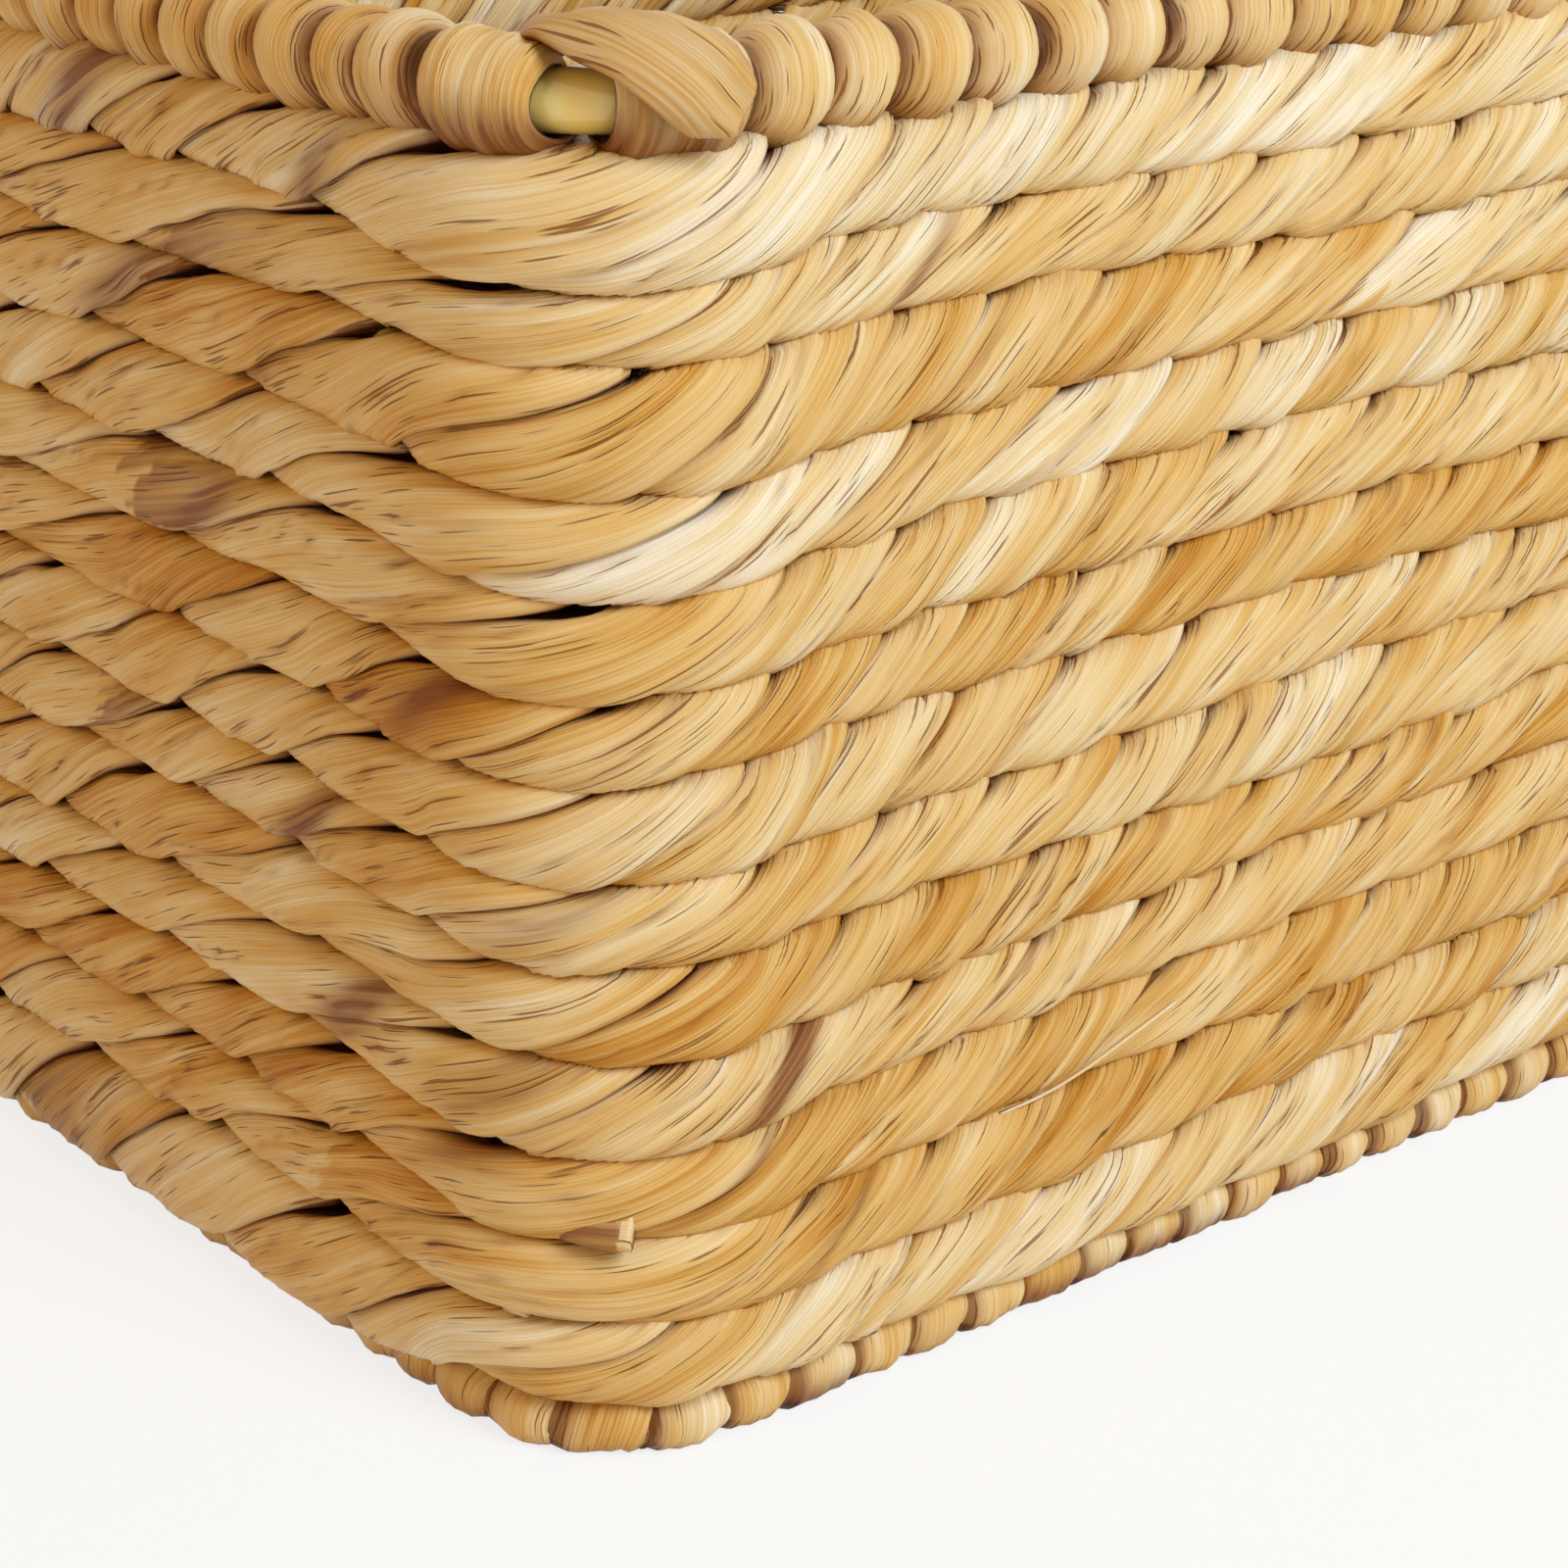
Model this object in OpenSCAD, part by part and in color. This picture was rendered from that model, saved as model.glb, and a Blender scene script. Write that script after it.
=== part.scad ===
// Rectangular bread basket of twined water hyacinth rope on a frame of cane.
// Millimetres. X runs along the long side, Y along the short side and Z up.
// The origin is the middle of the basket, on the surface that it stands on.
// Rows of the wall are counted from the rim down, rows of the base from the front.

/* [Basket] */
// Length over the outside of the wall rows
basket_l = 300; // [220:1:420]
// Width over the outside of the wall rows
basket_w = 200; // [150:1:320]
// Corner radius on the outside of the wall rows
corner_r = 22; // [13.5:0.5:40]

/* [Wall rows] */
// Number of twined rows in the wall
wall_rows = 13; // [6:1:18]
// Height that one row takes up in the wall
row_pitch = 9.5; // [7:0.1:12]
// Thickness of a row through the wall
row_depth = 10.4; // [8:0.1:13]

/* [Base rows] */
// Width of a base row, before the rows are spread to fill the base
base_row_w = 9.5; // [7:0.1:14]
// Thickness of the base rows, which are pressed flatter than the wall rows
base_row_h = 5.8; // [4.8:0.1:8]

/* [Cane frame] */
// Thickness of the cane hoop inside the rim
rim_core_d = 6; // [4:0.1:8]
// Thickness of the cane hoop inside the foot
foot_core_d = 3.6; // [3:0.1:4.4]
// Thickness of the stakes that the rows are twined on
stake_d = 3; // [2:0.1:4]
// Distance between stakes, one full turn of the twined strands
stake_pitch = 33; // [20:1:60]

/* [Bindings] */
// Outer thickness of the bound rim
rim_binding_d = 11.5; // [10:0.1:16]
// Outer thickness of the bound foot
foot_binding_d = 7; // [6.4:0.1:12]
// Width of one wrap along a binding
wrap_w = 8.5; // [6:0.1:14]
// How far the edge of a wrap stands over the next wrap
wrap_step = 0.6; // [0.2:0.05:0.9]
// How far the foot is pressed flat past the low edge of its wraps
foot_press = 0.2; // [0.1:0.05:0.4]
// Length of the rim hoop left bare at the front left corner, where both rim strands start
bare_core = 8; // [4:0.5:12]

/* [Clearances] */
// Gap between neighbouring rows
row_gap = 0.1; // [0.05:0.05:0.4]
// Gap round a stake inside a row, and round a hoop inside its binding
cane_gap = 0.1; // [0.05:0.05:0.3]
// Gap between the coped end of a stake and the bound hoop
cope_gap = 0.05; // [0.02:0.01:0.2]
// Height of the base rows above the surface that the foot stands on
floor_gap = 0.3; // [0.1:0.1:1]

/* [Hidden] */
$fn = 72;

// Centreline of the wall: half its length, half its width and its corner radius
side_x = (basket_l - row_depth) / 2;
side_y = (basket_w - row_depth) / 2;
bend_r = corner_r - row_depth / 2;

// Half lengths of the straight stretches between the corners
straight_x = side_x - bend_r;
straight_y = side_y - bend_r;

// Heights of the foot hoop, the underside of the lowest wall row and the rim hoop
foot_z = foot_binding_d / 2 - wrap_step - foot_press;
wall_z = foot_z + foot_binding_d / 2 + row_gap;
rim_z = wall_z + wall_rows * row_pitch + rim_binding_d / 2;

// Stakes stand one stake clear of the corners
stakes_x = floor(2 * (straight_x - stake_d) / stake_pitch) + 1;
stakes_y = floor(2 * (straight_y - stake_d) / stake_pitch) + 1;
bore_d = stake_d + 2 * cane_gap;

// Height and thickness of the two bound hoops, which the stakes stand between
bound_hoops = [[rim_z, rim_binding_d], [foot_z, foot_binding_d]];

// The base rows fill the space inside the foot, or inside the wall too where they reach up to it
base_z = max(foot_z, floor_gap + base_row_h / 2);
base_below_wall = base_z + base_row_h / 2 <= wall_z;
base_inset = (base_below_wall ? foot_binding_d : max(row_depth, foot_binding_d)) / 2 + row_gap;
base_x = side_x - base_inset;
base_y = side_y - base_inset;
base_bend = max(0, bend_r - base_inset);
base_rows = round(2 * base_y / base_row_w);
base_step = 2 * base_y / base_rows;

// Turn of the front left corner that is left bare, and the turn that each rim strand covers there
bare_turn_max = 80;
bare_turn = min(bare_turn_max, bare_core / bend_r * 180 / PI);
start_turn = (90 - bare_turn) / 2;

// Cone steps that round the back of one wrap
wrap_cones = 4;

hyacinth_tan = "#D9B679";
hyacinth_gold = "#CDA765";
hyacinth_pale = "#E2C48E";
cane_yellow = "#D8B04C";

function row_name(kind, i) = str(kind, i < 10 ? "_0" : "_", i);

// Place of stake i of n along its side
function stake_at(i, n) = (i - (n - 1) / 2) * stake_pitch;

// Height of the middle of a wall row
function wall_row_z(i) = wall_z + (wall_rows - i + 0.5) * row_pitch;

// Place of a base row across the basket
function base_row_y(i) = (i - (base_rows + 1) / 2) * base_step;

// How much of a base row's end the rounded corner takes, at its outer edge
function corner_trim(y) =
    let (over = max(0, abs(y) + base_step / 2 - (base_y - base_bend)))
    base_bend - sqrt(max(0, base_bend * base_bend - over * over));

// Outline of n wraps as [radius, length] points: each swells from under the
// edge of the wrap before it and ends in an edge of its own
function wrap_outline(length, n, bore_r, low_r) = concat(
    [[bore_r, 0]],
    [for (i = [0:n - 1], j = [0:wrap_cones])
        [low_r + wrap_step * sin(90 * j / wrap_cones), (i + j / wrap_cones) * length / n]],
    [[bore_r, length]]
);

// Section of a twined rope, pressed flat above and below by its neighbours
module rope_section(depth, height) {
    intersection() {
        circle(d = depth);
        square([2 * depth, height], center = true);
    }
}

// One straight stretch along +X from the origin, with the section drawn across it
module run(length) {
    rotate([90, 0, 90])
        linear_extrude(length)
            children();
}

// A bend about the origin, a quarter from the front side to the right side unless it is given a turn
module bend(turn = 90) {
    rotate([0, 0, -90])
        rotate_extrude(angle = turn)
            translate([bend_r, 0])
                children();
}

// A closed loop along the wall's centreline, with the section drawn across it
module wall_loop() {
    for (end = [-1, 1]) {
        rotate([0, 0, end < 0 ? 0 : 180]) {
            translate([-straight_x, -side_y, 0])
                run(2 * straight_x)
                    children();
            translate([straight_x, -straight_y, 0])
                bend()
                    children();
            translate([side_x, -straight_y, 0])
                rotate([0, 0, 90])
                    run(2 * straight_y)
                        children();
            translate([straight_x, straight_y, 0])
                rotate([0, 0, 90])
                    bend()
                        children();
        }
    }
}

// A rod along +X from the origin
module rod(length, d) {
    rotate([0, 90, 0])
        cylinder(h = length, d = d);
}

// Rods in the place of the stakes of the two long walls or the two short walls
module stakes_of_long_wall(side, d) {
    for (i = [0:stakes_x - 1])
        translate([stake_at(i, stakes_x), side * side_y, foot_z])
            cylinder(h = rim_z - foot_z, d = d);
}

module stakes_of_short_wall(side, d) {
    for (i = [0:stakes_y - 1])
        translate([side * side_x, stake_at(i, stakes_y), foot_z])
            cylinder(h = rim_z - foot_z, d = d);
}

module all_stakes(d) {
    for (side = [-1, 1]) {
        stakes_of_long_wall(side, d);
        stakes_of_short_wall(side, d);
    }
}

// Rods in the place of the base stakes, midway between the wall stakes
module stakes_of_base(d) {
    for (i = [0:stakes_x - 2])
        translate([stake_at(i, stakes_x - 1), -side_y, foot_z])
            rotate([0, 0, 90])
                rod(2 * side_y, d);
}

// The two bound hoops as straight rods along a long or a short wall, for coping stake ends
module hoops_of_long_wall(side) {
    for (hoop = bound_hoops)
        translate([-side_x, side * side_y, hoop[0]])
            rod(2 * side_x, hoop[1] + 2 * cope_gap);
}

module hoops_of_short_wall(side) {
    for (hoop = bound_hoops)
        translate([side * side_x, -side_y, hoop[0]])
            rotate([0, 0, 90])
                rod(2 * side_y, hoop[1] + 2 * cope_gap);
}

// Wraps wound along +X, with the core's bore
module wraps(length, d, core_d) {
    bore_r = core_d / 2 + cane_gap;
    rotate([0, 90, 0])
        rotate_extrude()
            polygon(wrap_outline(length, round(length / wrap_w), bore_r, d / 2 - wrap_step));
}

// Wraps crowded together round a corner, or round the first part of it
module corner_wraps(d, core_d, turn = 90) {
    bend(turn)
        difference() {
            circle(d = d);
            circle(d = core_d + 2 * cane_gap);
        }
}

// Wraps along one long or one short wall, with their edges facing away from the front left corner
module long_wraps(side, d, core_d) {
    translate([-straight_x, side * side_y, 0])
        wraps(2 * straight_x, d, core_d);
}

module short_wraps(side, d, core_d) {
    translate([side * side_x, -straight_y, 0])
        rotate([0, 0, 90])
            wraps(2 * straight_y, d, core_d);
}

module rim_core() {
    color(cane_yellow)
        translate([0, 0, rim_z])
            wall_loop()
                circle(d = rim_core_d);
}

module foot_core() {
    color(cane_yellow)
        translate([0, 0, foot_z])
            wall_loop()
                circle(d = foot_core_d);
}

module long_wall_stakes(side) {
    color(cane_yellow)
        difference() {
            stakes_of_long_wall(side, stake_d);
            hoops_of_long_wall(side);
        }
}

module short_wall_stakes(side) {
    color(cane_yellow)
        difference() {
            stakes_of_short_wall(side, stake_d);
            hoops_of_short_wall(side);
        }
}

module base_stakes() {
    color(cane_yellow)
        difference() {
            stakes_of_base(stake_d);
            for (side = [-1, 1])
                hoops_of_long_wall(side);
        }
}

// The first rim strand: out from the front left corner, along the front and the right side
module rim_binding_front_right() {
    color(hyacinth_pale)
        translate([0, 0, rim_z]) {
            translate([-straight_x, -straight_y, 0])
                mirror([1, 0, 0])
                    corner_wraps(rim_binding_d, rim_core_d, start_turn);
            long_wraps(-1, rim_binding_d, rim_core_d);
            translate([straight_x, -straight_y, 0])
                corner_wraps(rim_binding_d, rim_core_d);
            short_wraps(1, rim_binding_d, rim_core_d);
        }
}

// The second rim strand: out from the same corner, along the left side and the back
module rim_binding_left_back() {
    color(hyacinth_pale)
        translate([0, 0, rim_z]) {
            translate([-straight_x, -straight_y, 0])
                rotate([0, 0, -90])
                    corner_wraps(rim_binding_d, rim_core_d, start_turn);
            short_wraps(-1, rim_binding_d, rim_core_d);
            translate([-straight_x, straight_y, 0])
                rotate([0, 0, 180])
                    corner_wraps(rim_binding_d, rim_core_d);
            long_wraps(1, rim_binding_d, rim_core_d);
            translate([straight_x, straight_y, 0])
                rotate([0, 0, 90])
                    corner_wraps(rim_binding_d, rim_core_d);
        }
}

module foot_binding() {
    color(hyacinth_pale)
        difference() {
            translate([0, 0, foot_z]) {
                for (side = [-1, 1]) {
                    long_wraps(side, foot_binding_d, foot_core_d);
                    short_wraps(side, foot_binding_d, foot_core_d);
                }
                for (turn = [0, 180]) {
                    rotate([0, 0, turn])
                        translate([straight_x, -straight_y, 0])
                            corner_wraps(foot_binding_d, foot_core_d);
                    rotate([0, 0, turn])
                        translate([straight_x, straight_y, 0])
                            rotate([0, 0, 90])
                                corner_wraps(foot_binding_d, foot_core_d);
                }
            }
            translate([-basket_l, -basket_w, -foot_binding_d])
                cube([2 * basket_l, 2 * basket_w, foot_binding_d]);
        }
}

module wall_row(i) {
    color(hyacinth_tan)
        difference() {
            translate([0, 0, wall_row_z(i)])
                wall_loop()
                    rope_section(row_depth, row_pitch - row_gap);
            all_stakes(bore_d);
        }
}

module base_row(i) {
    half = base_x - corner_trim(base_row_y(i));
    color(hyacinth_gold)
        difference() {
            translate([-half, base_row_y(i), base_z])
                run(2 * half)
                    rope_section(base_step - row_gap, base_row_h);
            stakes_of_base(bore_d);
        }
}

rim_core();
foot_core();
long_wall_stakes(-1);  // front_stakes
long_wall_stakes(1);  // back_stakes
short_wall_stakes(-1);  // left_stakes
short_wall_stakes(1);  // right_stakes
base_stakes();
rim_binding_front_right();
rim_binding_left_back();
foot_binding();
for (i = [1:wall_rows]) wall_row(i);
for (i = [1:base_rows]) base_row(i);
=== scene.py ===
"""Looks of the bread basket: twined hyacinth rows, bound rim and foot, cane frame and studio."""

import logging
import math
from dataclasses import dataclass, replace
from enum import Enum
from typing import Any, Iterable, Sequence

import bpy
import numpy as np
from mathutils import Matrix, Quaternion, Vector


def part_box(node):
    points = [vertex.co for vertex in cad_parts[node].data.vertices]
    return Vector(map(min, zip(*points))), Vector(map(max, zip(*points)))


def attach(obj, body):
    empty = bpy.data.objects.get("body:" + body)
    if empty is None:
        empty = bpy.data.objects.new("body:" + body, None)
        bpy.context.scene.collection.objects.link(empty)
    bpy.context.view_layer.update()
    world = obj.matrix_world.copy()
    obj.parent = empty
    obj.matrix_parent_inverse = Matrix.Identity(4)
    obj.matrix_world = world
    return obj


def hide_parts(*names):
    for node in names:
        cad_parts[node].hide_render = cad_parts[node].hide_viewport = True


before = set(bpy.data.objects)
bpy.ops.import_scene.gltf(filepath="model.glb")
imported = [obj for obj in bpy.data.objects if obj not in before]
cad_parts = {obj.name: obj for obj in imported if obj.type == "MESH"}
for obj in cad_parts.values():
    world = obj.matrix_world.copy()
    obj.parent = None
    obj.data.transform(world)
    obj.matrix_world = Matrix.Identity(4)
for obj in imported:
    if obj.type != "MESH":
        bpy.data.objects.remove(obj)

Array = np.ndarray
Colour = tuple[float, float, float, float]
Socket = bpy.types.NodeSocket

MM = 0.001
TAU = 2.0 * math.pi
HALF_TURN = TAU / 2.0
QUARTER_TURN = TAU / 4.0
UP = (0.0, 0.0, 1.0)
FORWARD = (0.0, -1.0, 0.0)
ROOT = "root"
FIBRE_MAP = "fibre"

# Starts of the random streams.
SEED = 20417
BASE_SEED = SEED + 100
BINDING_SEED = SEED + 300
LOOSE_SEED = SEED + 400

log = logging.getLogger("basket")


class Shade(Enum):
    """Names of the point attributes that the hyacinth finish reads."""

    TONE = "tone"
    # Painted shade in crevices: under lips, between rows, in gaps, at edges and on undersides.
    CREVICE = "crevice"
    STAIN = "stain"
    SHIFT = "shift"


class Slot(Enum):
    """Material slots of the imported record."""

    WALL = "wall_hyacinth"
    BASE = "base_hyacinth"
    BINDING = "binding_hyacinth"
    CANE = "cane"


class RandomKind(Enum):
    """Kinds of random values, with the sockets of their lowest value, highest value and result."""

    FLOAT = (2, 3, 1)
    INT = (4, 5, 2)


def linear(code: str) -> Colour:
    """Turns an sRGB hex colour into linear light.

    Args:
        code: Six hex digits after a hash sign.

    Returns:
        Linear red, green and blue, with full alpha.
    """
    knee, slope, offset, gain, power = 0.04045, 12.92, 0.055, 1.055, 2.4
    parts = [int(code[i : i + 2], 16) / 255.0 for i in (1, 3, 5)]
    light = [p / slope if p <= knee else ((p + offset) / gain) ** power for p in parts]
    return (light[0], light[1], light[2], 1.0)


def add_node(
    tree: bpy.types.NodeTree,
    kind: str,
    settings: dict[str, Any] | None = None,
    inputs: dict[int | str, Any] | None = None,
) -> bpy.types.Node:
    """Adds one node, sets its properties and fills or links its inputs.

    Args:
        tree: Shader or geometry tree that takes the node.
        kind: Type name of the node.
        settings: Node properties by name.
        inputs: Values, or output sockets to link from, by input name or number.

    Returns:
        The new node.
    """
    node = tree.nodes.new(kind)
    for name, value in (settings or {}).items():
        setattr(node, name, value)
    for key, value in (inputs or {}).items():
        if isinstance(value, bpy.types.NodeSocket):
            tree.links.new(value, node.inputs[key])
        else:
            node.inputs[key].default_value = value
    return node


def reckon(tree: bpy.types.NodeTree, operation: str, *values: Socket | float, clamp: bool = False) -> Socket:
    """Adds a node that reckons with numbers.

    Args:
        tree: Shader or geometry tree that takes the node.
        operation: Name of the operation.
        values: Numbers, or output sockets to link from, in the order of the inputs.
        clamp: Whether the result is kept between 0 and 1.

    Returns:
        Socket of the result.
    """
    settings = {"operation": operation, "use_clamp": clamp}
    return add_node(tree, "ShaderNodeMath", settings, dict(enumerate(values))).outputs[0]


def mix_colours(
    tree: bpy.types.NodeTree, share: Socket, first: Socket | Colour, second: Socket | Colour
) -> Socket:
    """Adds a node that mixes two colours.

    Args:
        tree: Tree of the material.
        share: Socket of the second colour's share.
        first: Colour, or the socket of one, where the share is 0.
        second: Colour, or the socket of one, where the share is 1.

    Returns:
        Socket of the mixed colour.
    """
    first_at, second_at, result = 6, 7, 2
    inputs = {"Factor": share, first_at: first, second_at: second}
    return add_node(tree, "ShaderNodeMix", {"data_type": "RGBA"}, inputs).outputs[result]


def soft_step(
    tree: bpy.types.NodeTree, value: Socket, low: float, high: float, first: float = 0.0
) -> Socket:
    """Adds a node that rises softly to 1 between two bounds.

    Args:
        tree: Tree of the material.
        value: Socket of the value.
        low: Where the rise starts.
        high: Where the rise ends.
        first: Result below the rise.

    Returns:
        Socket of the result.
    """
    settings = {"interpolation_type": "SMOOTHSTEP"}
    inputs = {"Value": value, "From Min": low, "From Max": high, "To Min": first}
    return add_node(tree, "ShaderNodeMapRange", settings, inputs).outputs["Result"]


def blank_tree(holder: bpy.types.Material | bpy.types.World) -> bpy.types.NodeTree:
    """Gives a material or a world an empty node tree.

    Args:
        holder: Material or world.

    Returns:
        Its tree.
    """
    holder.use_nodes = True
    holder.node_tree.nodes.clear()
    return holder.node_tree


def new_object(name: str, data: bpy.types.ID) -> bpy.types.Object:
    """Makes an object and links it to the scene.

    Args:
        name: Name of the object.
        data: Its mesh, light or camera.

    Returns:
        The object.
    """
    made = bpy.data.objects.new(name, data)
    bpy.context.scene.collection.objects.link(made)
    return made


def hand_over(piece: bpy.types.Object, node: str | None = None) -> None:
    """Tells the frame what a piece moves with, and hides the node whose place it takes.

    Args:
        piece: Finished piece.
        node: Node whose place it takes, if it takes one.
    """
    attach(piece, ROOT)
    if node is not None:
        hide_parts(node)


def smooth(part: Array) -> Array:
    """Eases shares from 0 to 1, level at both ends."""
    return part * part * (3.0 - 2.0 * part)


def ease(low: float, high: float, x: Array) -> Array:
    """Eases from 0 to 1 between two bounds.

    Args:
        low: Where the rise starts.
        high: Where the rise ends.
        x: Values to ease.

    Returns:
        Eased values.
    """
    return smooth(np.clip((x - low) / (high - low), 0.0, 1.0))


class Noise:
    """Seeded smooth noise on lines and sheets."""

    def __init__(self, seed: int) -> None:
        """Starts the random stream.

        Args:
            seed: Start of the stream.
        """
        self.rng = np.random.default_rng(seed)

    @staticmethod
    def _fade(x: Array) -> tuple[Array, Array]:
        """Splits positions into cells and eased fractions.

        Args:
            x: Positions counted in cells.

        Returns:
            Whole cell numbers, and eased fractions from 0 to 1.
        """
        cell = np.floor(x).astype(int)
        return cell, smooth(x - cell)

    def line(self, t: Array, cells: int) -> Array:
        """Makes smooth values along a closed line.

        Args:
            t: Positions, one unit for the whole line.
            cells: Number of random knots.

        Returns:
            Values from -1 to 1.
        """
        knots = self.rng.uniform(-1.0, 1.0, max(cells, 1))
        cell, part = self._fade(t * len(knots))
        low = knots[cell % len(knots)]
        high = knots[(cell + 1) % len(knots)]
        return low + (high - low) * part

    def sheet(self, t: Array, q: Array, cells_t: int, cells_q: int) -> Array:
        """Makes smooth values on a sheet that closes along its length.

        Args:
            t: Positions along the sheet, one unit for its length.
            q: Positions across the sheet, from 0 to 1.
            cells_t: Number of random knots along it.
            cells_q: Number of random cells across it.

        Returns:
            Values from -1 to 1, a row for each t and a column for each q.
        """
        knots = self.rng.uniform(-1.0, 1.0, (max(cells_t, 1), cells_q + 2))
        cell_t, part_t = self._fade(t * len(knots))
        cell_q, part_q = self._fade(np.clip(q, 0.0, 1.0) * cells_q)
        first = knots[cell_t % len(knots)]
        second = knots[(cell_t + 1) % len(knots)]
        rows = first + (second - first) * part_t[:, None]
        low = rows[:, cell_q]
        high = rows[:, cell_q + 1]
        return low + (high - low) * part_q[None, :]

    def veins(self, t: Array, q: Array, coarse: tuple[int, int], fine: tuple[int, int]) -> Array:
        """Makes ridges on a sheet, with finer ones among them.

        Args:
            t: Positions along the sheet, one unit for its length.
            q: Positions across the sheet, from 0 to 1.
            coarse: Cells of the ridges, along and across.
            fine: Cells of the finer ridges, along and across.

        Returns:
            Heights, a row for each t and a column for each q.
        """
        fine_share = 0.6
        return self.sheet(t, q, *coarse) + fine_share * self.sheet(t, q, *fine)


class MeshParts:
    """Vertices, faces, fibre coordinates and shades of a mesh that grows part by part."""

    def __init__(self) -> None:
        """Starts with no part."""
        self._points: list[Array] = []
        self._fibres: list[Array] = []
        self._shades: list[Array] = []
        self._corners: list[Array] = []
        self._sides: list[Array] = []
        self._count = 0

    def add_tube(self, grid: Array, fibre: Array, shade: Array, capped: bool, flip: bool = False) -> None:
        """Adds a tube made of rings.

        Args:
            grid: Points, by ring and place on the ring.
            fibre: Length along and across the fibres at each point.
            shade: Tone, crevice and stain at each point.
            capped: Whether the first and last ring are closed.
            flip: Whether the faces are turned over.
        """
        rings, across = grid.shape[:2]
        index = np.arange(rings * across).reshape(rings, across) + self._count
        right = np.roll(index, -1, axis=1)
        quads = np.stack([index[:-1], index[1:], right[1:], right[:-1]], axis=-1).reshape(-1, 4)
        caps = [index[0], index[-1][::-1]] if capped else []
        if flip:
            quads = quads[:, ::-1]
            caps = [cap[::-1] for cap in caps]
        self._corners += [quads.ravel(), *caps]
        self._sides += [np.full(len(quads), quads.shape[1]), *[np.array([len(c)]) for c in caps]]
        self._points.append(grid.reshape(-1, 3))
        self._fibres.append(fibre.reshape(-1, 2))
        self._shades.append(shade.reshape(-1, 3))
        self._count += rings * across

    def to_object(self, name: str, material: bpy.types.Material) -> bpy.types.Object:
        """Makes the mesh object.

        Args:
            name: Name of the object and its mesh.
            material: Finish of every face.

        Returns:
            The object, linked to the scene.
        """
        corners = np.concatenate(self._corners).astype(np.int32)
        sides = np.concatenate(self._sides)
        points = np.concatenate(self._points).astype(np.float32)
        mesh = bpy.data.meshes.new(name)
        mesh.vertices.add(len(points))
        mesh.vertices.foreach_set("co", points.ravel())
        mesh.loops.add(len(corners))
        mesh.loops.foreach_set("vertex_index", corners)
        mesh.polygons.add(len(sides))
        starts = np.concatenate([[0], np.cumsum(sides)[:-1]]).astype(np.int32)
        mesh.polygons.foreach_set("loop_start", starts)
        mesh.update(calc_edges=True)
        fibre = np.concatenate(self._fibres).astype(np.float32)
        mesh.uv_layers.new(name=FIBRE_MAP).data.foreach_set("uv", fibre[corners].ravel())
        shades = np.concatenate(self._shades).astype(np.float32)
        for column, kind in enumerate((Shade.TONE, Shade.CREVICE, Shade.STAIN)):
            layer = mesh.attributes.new(kind.value, "FLOAT", "POINT")
            layer.data.foreach_set("value", np.ascontiguousarray(shades[:, column]))
        mesh.shade_smooth()
        mesh.materials.append(material)
        return new_object(name, mesh)


@dataclass(frozen=True)
class Pattern:
    """A noise that is stretched along the fibres of a strand."""

    # Size along and across the fibres, in millimetres.
    length: float
    width: float
    # Number of finer layers in the noise.
    detail: float
    # Weight of the pattern where it is gathered with others.
    weight: float = 1.0

    def build(self, tree: bpy.types.NodeTree, where: Socket) -> Socket:
        """Adds the noise.

        Args:
            tree: Tree of the material.
            where: Socket of the fibre coordinates in metres.

        Returns:
            Socket with values from 0 to 1.
        """
        rate = (1.0 / (self.length * MM), 1.0 / (self.width * MM), 0.0)
        scaled = add_node(tree, "ShaderNodeVectorMath", {"operation": "MULTIPLY"}, {0: where, 1: rate})
        inputs = {"Vector": scaled.outputs[0], "Scale": 1.0, "Detail": self.detail}
        return add_node(tree, "ShaderNodeTexNoise", {"noise_dimensions": "2D"}, inputs).outputs["Fac"]

    def gather(self, tree: bpy.types.NodeTree, noise: Socket, start: Socket) -> Socket:
        """Adds the weighted noise, centred on zero, to a value.

        Args:
            tree: Tree of the material.
            noise: Socket of this pattern's noise.
            start: Socket of the value.

        Returns:
            Socket of the sum.
        """
        middle = 0.5
        centred = reckon(tree, "SUBTRACT", noise, middle)
        return reckon(tree, "MULTIPLY_ADD", centred, self.weight, start)


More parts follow.
